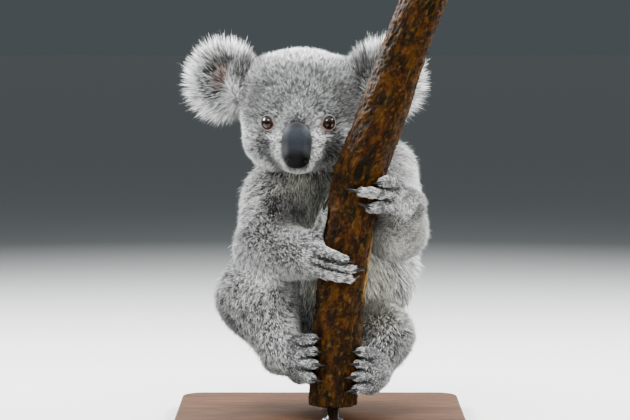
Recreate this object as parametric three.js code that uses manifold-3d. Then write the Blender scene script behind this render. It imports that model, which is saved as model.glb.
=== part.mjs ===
// A koala that hugs a short length of branch, as a still, life-size display model on a plain stand.
// Millimetres, +Z up. The animal faces -Y and its right side is at -X.
// The origin is the middle of the underside of the stand's base.
//
// The body is a set of smooth swellings (ellipsoids and round-ended cones). Each swelling or group of
// swellings is wrapped by a capsule-shaped mesh, and the wrapped solids are parted by thin cuts.
import * as THREE from 'three';
import { mergeVertices } from 'three/addons/utils/BufferGeometryUtils.js';
import Module from 'manifold-3d';

const wasm = await Module();
wasm.setup();

// ---- driving dimensions ------------------------------------------------------------------------

const CUT = 0.5;                 // width of the thin cuts between neighbours

// How far a surface may stray when its small faces are joined.
const fineness = 0.3;
const pawFineness = 1.5;
const clawFineness = 0.03;
const DEGREE = Math.PI / 180;

const stand = {
  width: 330, depth: 290, thickness: 16, corner: 26, bevel: 2.5,
  rodRadius: 7, rodSides: 14, rodSink: 12, bodyRod: { x: 8, y: 46 },
};

const branch = {
  y: -95, bottom: 36, top: 520, sides: 14, rings: 14,
  // centre line: x at a height z
  line: [[14, 36], [18.5, 112], [28.5, 212], [45, 295], [66, 358], [100, 448], [127, 520]],
  // radius at a height z
  girth: [[27, 36], [27.2, 160], [26.6, 240], [30, 300], [28.6, 355], [27, 410], [26, 520]],
  ridge: 0.9,
};

// The slanting cut between neck and trunk.
const neckCut = { z: 281, slope: 8 };

// The head's own frame: origin in the middle of the skull, turned a little to the animal's right.
const headOrigin = new THREE.Vector3(-21.8, -5, 360);
const headTurn = -3 * DEGREE;

const eye = { spacing: 32.5, y: -52, z: -10.5, radius: 9 };

const ear = {
  radiusAcross: 49, radiusUp: 51, thickness: 28, dish: 11,
  right: { x: -91.5, y: 14, z: 35, outward: 16, tip: 4 },
  left: { x: 98, y: 14, z: 36, outward: 16, tip: 4 },
  root: { x: 58, y: 6, z: 33, radii: [29, 19, 32] },
  // The section from the middle of the back over the rim to the floor of the dish, as shares of the
  // radius, of half the thickness and of the dish's depth.
  section: [
    [0, -1, 0], [0.4, -0.98, 0], [0.72, -0.8, 0], [0.92, -0.45, 0], [1, 0, 0],
    [0.93, 0.42, 0], [0.76, 0.4, 0], [0.45, 1, 1.3], [0, 1, 1.5],
  ],
};

// Joints of the limbs: place of the middle and radius of the fur round it.
const joint = {
  right: {
    shoulder: { at: [-50, 2, 258], radius: 42 },
    elbow: { at: [-57, -42, 205], radius: 40.5 },
    wrist: { at: [-15, -92, 203], radius: 28 },
    hip: { at: [-28, 22, 112], radius: 48 },
    knee: { at: [-70, -38, 149], radius: 48 },
    ankle: { at: [-40, -74, 92], radius: 27 },
  },
  left: {
    shoulder: { at: [70, 5, 288], radius: 45 },
    elbow: { at: [88, -44, 228], radius: 34 },
    wrist: { at: [92, -86, 258], radius: 25 },
    hip: { at: [34, 22, 108], radius: 48 },
    knee: { at: [69, -43, 106], radius: 38 },
    ankle: { at: [57, -74, 72], radius: 25 },
  },
};

// Hands and feet grip the branch. A digit runs from one place on the branch to another: the angle round
// it in degrees, 0 towards -Y and 90 towards +X, and the height. Its radii are at the root and the tip.
const grip = {
  hand_right: {
    palm: { angle: -84, height: 205, clearance: 9, radii: [15, 21, 25] },
    digits: [
      { name: 'thumb_1', from: [-96, 222], to: [-86, 252], radii: [7, 5], claw: 11, rise: 5 },
      { name: 'thumb_2', from: [-104, 210], to: [-138, 222], radii: [7, 5.5], claw: 11, rise: 2 },
      { name: 'finger_3', from: [-82, 214], to: [-6, 201], radii: [9.5, 7], claw: 12, rise: -3 },
      { name: 'finger_4', from: [-82, 203], to: [12, 190.5], radii: [8.5, 6], claw: 17, rise: -2 },
      { name: 'finger_5', from: [-82, 191], to: [10, 180], radii: [8.5, 5.8], claw: 12, rise: 3 },
    ],
  },
  hand_left: {
    palm: { angle: 92, height: 270, clearance: 10, radii: [15, 20, 24] },
    digits: [
      { name: 'thumb_1', from: [88, 287], to: [50, 286], radii: [9, 7], claw: 10, rise: -1 },
      { name: 'thumb_2', from: [104, 276], to: [142, 282], radii: [7.5, 6], claw: 11, rise: 2 },
      { name: 'finger_3', from: [86, 272], to: [10, 276], radii: [8.5, 6], claw: 17, rise: 4 },
      { name: 'finger_4', from: [88, 261], to: [37, 257.5], radii: [8.5, 6.2], claw: 15, rise: 7 },
      { name: 'finger_5', from: [102, 258], to: [140, 254], radii: [7.5, 6], claw: 11, rise: 2 },
    ],
  },
  foot_right: {
    palm: { angle: -96, height: 86, clearance: 13, radii: [17, 26, 29] },
    digits: [
      { name: 'toe_1', from: [-112, 72], to: [-148, 58], radii: [10, 8], claw: 0, rise: 0 },
      { name: 'toe_2', from: [-88, 106], to: [-58, 112], radii: [8.5, 6.2], claw: 9, rise: 1 },
      { name: 'toe_3', from: [-88, 95], to: [-54, 98], radii: [8, 6], claw: 9, rise: 0 },
      { name: 'toe_4', from: [-86, 84], to: [-50, 84], radii: [9, 6.6], claw: 12, rise: -1 },
      { name: 'toe_5', from: [-88, 71], to: [-54, 68], radii: [9, 6.6], claw: 12, rise: -3 },
    ],
  },
  foot_left: {
    palm: { angle: 98, height: 72, clearance: 13, radii: [17, 26, 27] },
    digits: [
      { name: 'toe_1', from: [114, 60], to: [150, 48], radii: [10, 8], claw: 0, rise: 0 },
      { name: 'toe_2', from: [88, 92], to: [58, 97], radii: [8.5, 6.2], claw: 9, rise: 1 },
      { name: 'toe_3', from: [88, 81], to: [54, 84], radii: [8, 6], claw: 9, rise: 0 },
      { name: 'toe_4', from: [86, 70], to: [50, 70], radii: [9, 6.6], claw: 12, rise: -1 },
      { name: 'toe_5', from: [88, 58], to: [54, 56], radii: [9, 6.6], claw: 12, rise: -3 },
    ],
  },
};

// A digit's middle line stands off the bark by a share of its radius, and its ends are rounded over a
// share of its length.
const digit = { points: 5, standOff: 0.92, rounding: 0.2, endShare: 0.86, sides: 6, rings: 5 };

// A claw's middle line, as shares of its length, of the digit's tip radius and of its rise. A digit that
// climbs more than a set height has a claw that points along the branch.
const claw = {
  line: [[-0.45, 0.85, 0], [0.25, 1.05, 0.2], [0.75, 0.8, 0.6], [1.15, 0, 1]],
  tipGap: 1.4, root: 0.42, tip: 0.35, taper: 0.7, climb: 20, climbTurn: 0.15, sides: 5, rings: 3,
};

const palm = { joinWidth: 14, back: 0.4, mesh: { around: 11, caps: 3, rows: 1 } };

// ---- fields: negative inside a swelling, positive outside, about the distance in millimetres ------

const vector = ([x, y, z]) => new THREE.Vector3(x, y, z);

function ellipsoid(centre, radii) {
  const middle = vector(centre);
  const size = vector(radii);
  return (point) => {
    const scaled = point.clone().sub(middle).divide(size);
    const length = scaled.length();
    const slope = scaled.divide(size).length();
    return slope > 0 ? (length * (length - 1)) / slope : -Math.min(...radii);
  };
}

function roundCone(start, end) {
  const from = vector(start.at);
  const along = vector(end.at).sub(from);
  const shrink = start.radius - end.radius;
  const reach = along.lengthSq() - shrink * shrink;
  return (point) => {
    const offset = point.clone().sub(from);
    const forward = offset.dot(along);
    const sideways = Math.sqrt(Math.max(offset.lengthSq() * along.lengthSq() - forward * forward, 0));
    const share = (forward + (sideways * shrink) / Math.sqrt(reach)) / along.lengthSq();
    const place = THREE.MathUtils.clamp(share, 0, 1);
    return offset.addScaledVector(along, -place).length() - (start.radius - shrink * place);
  };
}

function join(width, ...fields) {
  return (point) => fields.map((field) => field(point)).reduce((low, next) => {
    const mix = Math.max(width - Math.abs(low - next), 0) / width;
    return Math.min(low, next) - (mix * mix * width) / 4;
  });
}

// ---- mesh helpers ------------------------------------------------------------------------------

// The same geometry with one vertex at each place, so that it closes on itself.
function welded(geometry) {
  geometry.deleteAttribute('normal');
  geometry.deleteAttribute('uv');
  return mergeVertices(geometry, 1e-5);
}

function solid(geometry) {
  const mesh = new wasm.Mesh({
    numProp: 3,
    vertProperties: new Float32Array(geometry.attributes.position.array),
    triVerts: new Uint32Array(geometry.index.array),
  });
  return new wasm.Manifold(mesh);
}

function geometryOf(manifold) {
  const mesh = manifold.getMesh();
  const geometry = new THREE.BufferGeometry();
  geometry.setAttribute('position', new THREE.BufferAttribute(new Float32Array(mesh.vertProperties), 3));
  geometry.setIndex(new THREE.BufferAttribute(new Uint32Array(mesh.triVerts), 1));
  geometry.computeVertexNormals();
  return geometry;
}

// The solid grown by a small width: each vertex moves out until every face round it has moved that far.
function grown(manifold, width) {
  const geometry = geometryOf(manifold);
  const { position, normal } = geometry.attributes;
  const outward = (index) => new THREE.Vector3().fromBufferAttribute(normal, index);
  const slant = new Float32Array(position.count).fill(1);
  const face = new THREE.Triangle();
  const faceNormal = new THREE.Vector3();
  for (let start = 0; start < geometry.index.count; start += 3) {
    const indices = [0, 1, 2].map((corner) => geometry.index.getX(start + corner));
    face.setFromAttributeAndIndices(position, ...indices);
    face.getNormal(faceNormal);
    indices.forEach((index) => {
      slant[index] = Math.min(slant[index], Math.max(outward(index).dot(faceNormal), 0.5));
    });
  }
  for (let index = 0; index < position.count; index += 1) {
    const point = new THREE.Vector3().fromBufferAttribute(position, index);
    point.addScaledVector(outward(index), width / slant[index]);
    position.setXYZ(index, point.x, point.y, point.z);
  }
  return solid(geometry);
}

// What is left of a solid beside its neighbours, as one body.
function trimmed(manifold, neighbours, tolerance) {
  const left = neighbours.reduce((rest, neighbour) => rest.subtract(grown(neighbour, CUT)), manifold);
  const bodies = left.simplify(tolerance).decompose();
  return bodies.sort((one, other) => other.volume() - one.volume())[0];
}

function beside(manifold, ...neighbours) {
  return trimmed(manifold, neighbours, fineness);
}

// A capsule mesh whose points slide straight out from a line inside the body to the body's surface.
function wrap(field, start, end, { around = 16, caps = 4, rows = 3 } = {}) {
  const from = vector(start);
  const to = vector(end);
  const length = Math.max(from.distanceTo(to), 0.01);
  const geometry = welded(new THREE.CapsuleGeometry(1, length, caps, around, rows));
  const upwards = new THREE.Vector3(0, 1, 0);
  const turn = new THREE.Quaternion().setFromUnitVectors(upwards, to.clone().sub(from).normalize());
  const middle = from.clone().add(to).multiplyScalar(0.5);
  const { position } = geometry.attributes;
  for (let index = 0; index < position.count; index += 1) {
    const point = new THREE.Vector3().fromBufferAttribute(position, index);
    const root = new THREE.Vector3(0, THREE.MathUtils.clamp(point.y, -length / 2, length / 2), 0);
    const outward = point.sub(root).normalize().applyQuaternion(turn);
    root.applyQuaternion(turn).add(middle);
    root.addScaledVector(outward, distanceOut(field, root, outward));
    position.setXYZ(index, root.x, root.y, root.z);
  }
  return solid(geometry);
}

function distanceOut(field, root, outward) {
  const step = 4;
  let inside = 0;
  while (field(root.clone().addScaledVector(outward, inside + step)) < 0) {
    inside += step;
  }
  let outside = inside + step;
  for (let turn = 0; turn < 16; turn += 1) {
    const middle = (inside + outside) / 2;
    if (field(root.clone().addScaledVector(outward, middle)) < 0) {
      inside = middle;
    } else {
      outside = middle;
    }
  }
  return inside;
}

// A closed round bar along a curve, whose radius changes with the share of the length.
function bar(points, radiusAt, sides, rings) {
  const curve = new THREE.CatmullRomCurve3(points);
  const frames = curve.computeFrenetFrames(rings);
  const geometry = welded(new THREE.CylinderGeometry(1, 1, 1, sides, rings));
  const { position } = geometry.attributes;
  for (let index = 0; index < position.count; index += 1) {
    const share = position.getY(index) + 0.5;
    const ring = Math.round(share * rings);
    const radius = radiusAt(share);
    const point = curve.getPointAt(share);
    point.addScaledVector(frames.normals[ring], -position.getX(index) * radius);
    point.addScaledVector(frames.binormals[ring], position.getZ(index) * radius);
    position.setXYZ(index, point.x, point.y, point.z);
  }
  return solid(geometry);
}

function table(rows) {
  return (height) => {
    const last = rows.length - 1;
    const next = rows.findIndex(([, z], index) => index > 0 && (height <= z || index === last));
    const [lowValue, lowHeight] = rows[next - 1];
    const [highValue, highHeight] = rows[next];
    const share = THREE.MathUtils.clamp((height - lowHeight) / (highHeight - lowHeight), 0, 1);
    return THREE.MathUtils.lerp(lowValue, highValue, share);
  };
}

// ---- branch ------------------------------------------------------------------------------------

const branchLineX = table(branch.line);
const branchGirth = table(branch.girth);

function branchPoint(angle, height, clearance) {
  const reach = branchGirth(height) + clearance;
  return new THREE.Vector3(
    branchLineX(height) + reach * Math.sin(angle * DEGREE),
    branch.y - reach * Math.cos(angle * DEGREE),
    height,
  );
}

function makeBranch() {
  const length = branch.top - branch.bottom;
  const geometry = welded(new THREE.CylinderGeometry(1, 1, length, branch.sides, branch.rings));
  geometry.rotateX(Math.PI / 2);
  geometry.translate(0, 0, (branch.top + branch.bottom) / 2);
  const { position } = geometry.attributes;
  for (let index = 0; index < position.count; index += 1) {
    const height = position.getZ(index);
    const out = Math.hypot(position.getX(index), position.getY(index));
    const angle = Math.atan2(position.getX(index), -position.getY(index));
    const ridge = branch.ridge * (Math.sin(3 * angle + height / 40) + Math.sin(height / 23 - angle));
    const reach = out * (branchGirth(height) + ridge);
    position.setX(index, branchLineX(height) + reach * Math.sin(angle));
    position.setY(index, branch.y - reach * Math.cos(angle));
  }
  return solid(geometry);
}

// ---- head --------------------------------------------------------------------------------------

const headFrame = new THREE.Matrix4().makeRotationZ(headTurn).setPosition(headOrigin);
const headFrameBack = headFrame.clone().invert();

const bothSides = ([x, y, z], radii) => [ellipsoid([-x, y, z], radii), ellipsoid([x, y, z], radii)];

const skull = [
  ellipsoid([0, 4, 9], [60, 60, 65.5]),
  ...bothSides([26, 2, 24], [40, 42, 42]),
  ...bothSides([22, -20, -30], [44, 42, 37]),
  ...bothSides([40, -2, -4], [29, 36, 34]),
];
const forehead = ellipsoid([0, -34, 0], [42, 30, 36]);
const bridge = ellipsoid([0, -56, -16], [21, 27, 30]);
const muzzle = ellipsoid([0, -56, -40], [31, 35, 28]);
const headField = join(14, ...skull, forehead, bridge, muzzle);

const noseField = join(
  8,
  ellipsoid([0, -83, -25], [15.4, 12, 17]),
  ellipsoid([0, -84, -34], [15.2, 14, 17]),
  ...bothSides([4.5, -87.5, -46.5], [10, 14.5, 12.5]),
);

const inHead = (field) => (point) => field(point.clone().applyMatrix4(headFrameBack));
const headPlace = (place) => vector(place).applyMatrix4(headFrame).toArray();

function makeEyeball(side) {
  const geometry = welded(new THREE.IcosahedronGeometry(eye.radius, 2));
  geometry.translate(...headPlace([side * eye.spacing, eye.y, eye.z]));
  return solid(geometry);
}

// A dished disc, thick in the middle, with a rounded rim, on a flat root that joins it to the head.
function makeEar(side, place) {
  const half = ear.thickness / 2;
  const outline = ear.section.map(([out, along, dish]) => (
    new THREE.Vector2(out, half * along - ear.dish * dish)
  ));
  const geometry = welded(new THREE.LatheGeometry(outline, 18));
  geometry.scale(ear.radiusAcross, 1, ear.radiusUp);
  geometry.rotateX(Math.PI);
  geometry.rotateX(-place.tip * DEGREE);
  geometry.rotateZ(side * place.outward * DEGREE);
  geometry.translate(place.x, place.y, place.z);
  geometry.applyMatrix4(headFrame);
  const root = welded(new THREE.IcosahedronGeometry(1, 1));
  root.scale(...ear.root.radii);
  root.translate(side * ear.root.x, ear.root.y, ear.root.z);
  root.applyMatrix4(headFrame);
  return solid(geometry).add(solid(root));
}

// ---- trunk and neck ----------------------------------------------------------------------------

const torsoField = join(
  26,
  ellipsoid([-16, 28, 326], [42, 36, 40]),
  ellipsoid([-12, 16, 298], [58, 52, 38]),
  ellipsoid([-34, 12, 262], [48, 44, 44]),
  ellipsoid([42, 12, 278], [50, 46, 46]),
  ellipsoid([4, 18, 238], [80, 66, 66]),
  ellipsoid([16, 20, 178], [101, 83, 80]),
  ellipsoid([3, 25, 112], [88, 75, 67]),
);

// The half of the world above (+1) or below (-1) the slanting cut at the base of the neck.
function neckBlock(side) {
  const size = 400;
  const geometry = welded(new THREE.BoxGeometry(size, size, size));
  geometry.translate(0, 0, side * (size / 2 + CUT / 2));
  geometry.rotateX(neckCut.slope * DEGREE);
  geometry.translate(0, 0, neckCut.z);
  return solid(geometry);
}

// ---- limbs, hands and feet -----------------------------------------------------------------------

function limb(start, end, shape) {
  return wrap(roundCone(start, end), start.at, end.at, shape);
}

function makeDigit({ from, to, radii: [root, tip] }) {
  const points = Array.from({ length: digit.points }, (_, index) => {
    const share = index / (digit.points - 1);
    const radius = THREE.MathUtils.lerp(root, tip, share);
    const angle = THREE.MathUtils.lerp(from[0], to[0], share);
    const height = THREE.MathUtils.lerp(from[1], to[1], share);
    return branchPoint(angle, height, radius * digit.standOff);
  });
  const radiusAt = (share) => {
    const end = Math.max(1 - (1 - share) / digit.rounding, 1 - (2 * share) / digit.rounding, 0);
    return THREE.MathUtils.lerp(root, tip, share) * Math.sqrt(1 - end * end * digit.endShare);
  };
  return bar(points, radiusAt, digit.sides, digit.rings);
}

// A claw starts inside the tip of its digit and curves down to the bark.
function makeClaw({ from, to, radii, claw: length, rise }) {
  const turnPerLength = Math.sign(to[0] - from[0]) / (branchGirth(to[1]) * DEGREE);
  const climbs = Math.abs(to[1] - from[1]) > claw.climb;
  const upright = climbs ? Math.sign(to[1] - from[1]) : 0;
  const points = claw.line.map(([along, above, lift]) => {
    const angle = to[0] + turnPerLength * length * along * (climbs ? claw.climbTurn : 1);
    const height = to[1] + rise * lift + upright * length * along;
    return branchPoint(angle, height, Math.max(radii[1] * above, claw.tipGap));
  });
  const root = radii[1] * claw.root;
  return bar(points, (share) => root * (1 - share) ** claw.taper + claw.tip, claw.sides, claw.rings);
}

function makePalm({ angle, height, clearance, radii: [thick, across, tall] }, wrist) {
  const centre = branchPoint(angle, height, clearance);
  const middle = centre.toArray();
  const back = roundCone(wrist, { at: middle, radius: Math.min(thick, across) });
  const field = join(palm.joinWidth, ellipsoid(middle, [thick, across, tall]), back);
  return wrap(field, middle, vector(wrist.at).lerp(centre, palm.back).toArray(), palm.mesh);
}

// ---- stand -------------------------------------------------------------------------------------

function makeBase() {
  const halfWidth = stand.width / 2 - stand.bevel;
  const halfDepth = stand.depth / 2 - stand.bevel;
  const corner = stand.corner;
  const outline = new THREE.Shape();
  outline.moveTo(-halfWidth + corner, -halfDepth);
  outline.absarc(halfWidth - corner, -halfDepth + corner, corner, -Math.PI / 2, 0);
  outline.absarc(halfWidth - corner, halfDepth - corner, corner, 0, Math.PI / 2);
  outline.absarc(-halfWidth + corner, halfDepth - corner, corner, Math.PI / 2, Math.PI);
  outline.absarc(-halfWidth + corner, -halfDepth + corner, corner, Math.PI, Math.PI * 1.5);
  const geometry = welded(new THREE.ExtrudeGeometry(outline, {
    depth: stand.thickness - 2 * stand.bevel,
    bevelSize: stand.bevel,
    bevelThickness: stand.bevel,
    bevelSegments: 1,
    curveSegments: 3,
  }));
  geometry.translate(0, 0, stand.bevel);
  return solid(geometry);
}

function makeRod(x, y, top) {
  const bottom = stand.thickness + CUT;
  const { rodRadius, rodSides } = stand;
  const geometry = welded(new THREE.CylinderGeometry(rodRadius, rodRadius, top - bottom, rodSides));
  geometry.rotateX(Math.PI / 2);
  geometry.translate(x, y, (top + bottom) / 2);
  return solid(geometry);
}

// ---- assembly ----------------------------------------------------------------------------------

const finish = {
  coat: { color: 0x8d8b88, roughness: 0.95, metalness: 0 },
  nose: { color: 0x2b2d31, roughness: 0.45, metalness: 0 },
  eye: { color: 0x3a1f12, roughness: 0.08, metalness: 0 },
  claw: { color: 0x1f1c1a, roughness: 0.35, metalness: 0 },
  bark: { color: 0x6b4226, roughness: 0.85, metalness: 0 },
  stand: { color: 0x2c2a28, roughness: 0.5, metalness: 0 },
  rod: { color: 0x9a9a98, roughness: 0.3, metalness: 1 },
};

const materials = Object.fromEntries(
  Object.entries(finish).map(([name, values]) => [name, new THREE.MeshStandardMaterial(values)]),
);

const koala = new THREE.Group();

function add(name, manifold, material) {
  const mesh = new THREE.Mesh(geometryOf(manifold), material);
  mesh.name = name;
  koala.add(mesh);
}

const branchSolid = makeBranch();
const bodyRod = makeRod(stand.bodyRod.x, stand.bodyRod.y, 60);
const branchRod = makeRod(branchLineX(branch.bottom), branch.y, branch.bottom + stand.rodSink);

const eyeballs = { right: makeEyeball(-1), left: makeEyeball(1) };
const nose = wrap(inHead(noseField), headPlace([0, -82, -30]), headPlace([0, -84, -40]), {
  around: 12, caps: 3, rows: 2,
});
const headWhole = wrap(inHead(headField), headPlace([0, -6, 6]), headPlace([0, -18, -18]), {
  around: 22, caps: 6, rows: 2,
});
const head = beside(headWhole, eyeballs.right, eyeballs.left, nose, branchSolid);

const torso = wrap(torsoField, [2, 20, 108], [2, 12, 262], { around: 18, caps: 4, rows: 5 });
const neck = beside(torso.intersect(neckBlock(1)), headWhole);
const trunk = beside(torso.intersect(neckBlock(-1)), headWhole, branchSolid, bodyRod);

add('head', head, materials.coat);
add('nose', nose, materials.nose);
add('neck', neck, materials.coat);
add('trunk', trunk, materials.coat);

['right', 'left'].forEach((side) => {
  const sign = side === 'right' ? -1 : 1;
  const { shoulder, elbow, wrist, hip, knee, ankle } = joint[side];
  const limbShape = { around: 12, caps: 3, rows: 2 };
  const upperArm = limb(shoulder, elbow, limbShape);
  const forearm = limb(elbow, wrist, limbShape);
  const thigh = limb(hip, knee, limbShape);
  const shin = limb(knee, ankle, limbShape);
  const core = [headWhole, torso, branchSolid];

  add(`eye_${side}`, eyeballs[side], materials.eye);
  add(`ear_${side}`, beside(makeEar(sign, ear[side]), headWhole, branchSolid), materials.coat);
  add(`upper_arm_${side}`, beside(upperArm, ...core), materials.coat);
  add(`forearm_${side}`, beside(forearm, upperArm, ...core), materials.coat);
  add(`thigh_${side}`, beside(thigh, forearm, upperArm, ...core), materials.coat);
  add(`shin_${side}`, beside(shin, thigh, forearm, upperArm, ...core), materials.coat);

  const paws = [
    ['hand', wrist, [forearm, upperArm]],
    ['foot', ankle, [shin, thigh, forearm]],
  ];
  paws.forEach(([kind, end, neighbours]) => {
    const shape = grip[`${kind}_${side}`];
    const whole = shape.digits.reduce((rest, next) => rest.add(makeDigit(next)), makePalm(shape.palm, end));
    const paw = whole.simplify(pawFineness);
    add(`${kind}_${side}`, trimmed(paw, [...neighbours, ...core], clawFineness), materials.coat);
    shape.digits.filter((next) => next.claw > 0).forEach((next) => {
      const bare = trimmed(makeClaw(next), [grown(paw, CUT / 2), branchSolid], clawFineness);
      add(`claw_${kind}_${side}_${next.name}`, bare, materials.claw);
    });
  });
});

add('branch', beside(branchSolid, branchRod), materials.bark);
add('stand_base', makeBase(), materials.stand);
add('stand_rod_body', bodyRod, materials.rod);
add('stand_rod_branch', branchRod, materials.rod);

export default koala;
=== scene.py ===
"""The looks of the koala display model: skin, coat, eyes, nose, claws, branch and stand.

Shapes are worked out in millimetres, +Z up, in the frame's own place, and become metres when a mesh is
made. The animal faces -Y and its right side is at -X. The skin is one surface drawn round a set of smooth
swellings, which are the CAD's own swellings less the depth of the coat. Each tuft of the coat is a thin
three-sided spike that rises from the skin, bends over along the lay of the coat and ends near the outline.
"""
import itertools
import math

import bpy
import numpy as np
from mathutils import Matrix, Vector
from mathutils.kdtree import KDTree


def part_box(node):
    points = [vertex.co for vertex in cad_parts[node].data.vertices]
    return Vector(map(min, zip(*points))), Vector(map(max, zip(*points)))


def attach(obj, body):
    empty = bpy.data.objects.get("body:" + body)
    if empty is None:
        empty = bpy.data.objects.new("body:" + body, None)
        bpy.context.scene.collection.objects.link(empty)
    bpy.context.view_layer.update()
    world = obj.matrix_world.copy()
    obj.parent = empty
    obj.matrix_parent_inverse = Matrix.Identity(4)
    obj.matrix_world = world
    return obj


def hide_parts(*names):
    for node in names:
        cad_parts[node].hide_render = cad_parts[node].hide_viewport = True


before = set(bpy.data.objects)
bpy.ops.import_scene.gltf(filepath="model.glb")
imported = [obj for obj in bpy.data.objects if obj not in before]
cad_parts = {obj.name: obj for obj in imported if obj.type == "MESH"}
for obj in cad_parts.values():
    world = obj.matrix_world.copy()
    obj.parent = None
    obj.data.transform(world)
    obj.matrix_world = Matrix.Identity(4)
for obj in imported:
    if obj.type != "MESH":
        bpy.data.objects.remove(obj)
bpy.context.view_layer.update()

MM = 0.001
scene = bpy.context.scene
random = np.random.default_rng(20)

# ---- camera ------------------------------------------------------------------------------------

SENSOR = 36.0
CAMERA_DISTANCE = 3000.0
CAMERA_ELEVATION = math.radians(4)
CAMERA_AIM = (-5.75, 0.0, 247.25)
WIDTH_AT_AIM = 724.5            # what the picture's width shows at the aim's distance
CLIP = (0.1, 100.0)             # the nearest and farthest things seen, in metres


def make_camera():
    data = bpy.data.cameras.new("camera")
    data.sensor_width = SENSOR
    data.lens = SENSOR * CAMERA_DISTANCE / WIDTH_AT_AIM
    data.clip_start, data.clip_end = CLIP
    camera = bpy.data.objects.new("camera", data)
    scene.collection.objects.link(camera)
    back = Vector((0, -math.cos(CAMERA_ELEVATION), math.sin(CAMERA_ELEVATION)))
    camera.location = (Vector(CAMERA_AIM) + back * CAMERA_DISTANCE) * MM
    camera.rotation_euler = (math.pi / 2 - CAMERA_ELEVATION, 0, 0)
    scene.camera = camera


make_camera()

# ---- arithmetic --------------------------------------------------------------------------------

TINY = 1e-9
NOISE_VALUES = 4096             # a power of two
NOISE_SCATTER = np.array((73856093, 19349663, 83492791))    # large primes that part neighbouring cells


def length_of(vectors):
    return np.linalg.norm(vectors, axis=-1, keepdims=True)


def unit(vectors):
    return vectors / np.maximum(length_of(vectors), TINY)


def dot(one, other):
    return (one * other).sum(-1, keepdims=True)


def ease(low, high, value):
    """0 below low, 1 above high, and a smooth step between them."""
    share = np.clip((value - low) / (high - low), 0, 1)
    return share * share * (3 - 2 * share)


def mix(one, other, share):
    return one + (other - one) * share


def turn_z(angle):
    c, s = math.cos(angle), math.sin(angle)
    return np.array(((c, -s, 0), (s, c, 0), (0, 0, 1)))


def turn_x(angle):
    c, s = math.cos(angle), math.sin(angle)
    return np.array(((1, 0, 0), (0, c, -s), (0, s, c)))


def circle(count):
    """Evenly spaced angles, once round."""
    return np.linspace(0, 2 * math.pi, count, endpoint=False)


def on_sphere(angle, turn):
    """Directions at an angle from -Y, turned about it from +X."""
    across, ahead = np.sin(angle) * np.cos(turn), -np.cos(angle) + 0 * turn
    return np.stack([across, ahead, np.sin(angle) * np.sin(turn)], axis=-1)


def noise(points, size, seed):
    """Smooth noise from 0 to 1 whose lumps are about one size across."""
    values = np.random.default_rng(seed).random(NOISE_VALUES)
    scaled = points / size + 100.0
    cell = np.floor(scaled).astype(np.int64)
    share = ease(0, 1, scaled - cell)
    total = np.zeros(points.shape[:-1])
    for corner in itertools.product((0, 1), repeat=3):
        key = np.bitwise_xor.reduce((cell + corner) * NOISE_SCATTER, axis=-1)
        weight = np.prod(np.where(corner, share, 1 - share), axis=-1)
        total += values[key & (NOISE_VALUES - 1)] * weight
    return total


# ---- fields: negative inside, positive outside, about the distance in millimetres -----------------


class Swelling:
    """One swelling of the body: its field, the box it lies in, and how softly it joins the rest."""

    def __init__(self, part, field, low, high, width):
        self.part = part
        self.field = field
        self.low = np.array(low, float)
        self.high = np.array(high, float)
        self.width = width


def ellipsoid(centre, radii):
    centre, radii = np.array(centre, float), np.array(radii, float)

    def field(points):
        scaled = (points - centre) / radii
        out = np.linalg.norm(scaled, axis=-1)
        slope = np.linalg.norm(scaled / radii, axis=-1)
        return out * (out - 1) / np.maximum(slope, TINY)

    return field


def round_cone(start, end, start_radius, end_radius):
    start, along = np.array(start, float), np.subtract(end, start).astype(float)
    square = float(along @ along)
    shrink = start_radius - end_radius
    reach = math.sqrt(max(square - shrink * shrink, 1e-6))

    def field(points):
        offset = points - start
        forward = offset @ along
        sideways = np.sqrt(np.maximum((offset * offset).sum(-1) * square - forward * forward, 0))
        place = np.clip((forward + sideways * shrink / reach) / square, 0, 1)
        nearest = offset - place[..., None] * along
        return np.linalg.norm(nearest, axis=-1) - (start_radius - shrink * place)

    return field


def smooth_low(one, other, width):
    share = np.maximum(width - np.abs(one - other), 0) / width
    return np.minimum(one, other) - share * share * width / 4


# ---- the animal's sizes -------------------------------------------------------------------------

SIDES = {"right": -1, "left": 1}
HEAD_ORIGIN = np.array((-21.8, -5.0, 360.0))
HEAD_AXES = turn_z(math.radians(-3))


def to_head(points):
    return (np.asarray(points, float) - HEAD_ORIGIN) @ HEAD_AXES


def from_head(points):
    return np.asarray(points, float) @ HEAD_AXES.T + HEAD_ORIGIN


EYE = {"spacing": 32.5, "y": -52.0, "z": -10.5, "radius": 9.0}


def eye_centre(sign):
    return from_head((sign * EYE["spacing"], EYE["y"], EYE["z"]))



# The ear's disc, in the ear's own frame: x across, y back, z up. The rim is where its hairs end.
EAR = {
    "across": 49.0, "up": 51.0, "fringe": 12.0,
    "right": {"at": (-91.5, 14.0, 35.0), "outward": 16.0, "tip": 4.0},
    "left": {"at": (98.0, 14.0, 36.0), "outward": 16.0, "tip": 4.0},
    "root_at": (58.0, 6.0, 33.0), "root_radii": (29.0, 19.0, 32.0),
}

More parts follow.
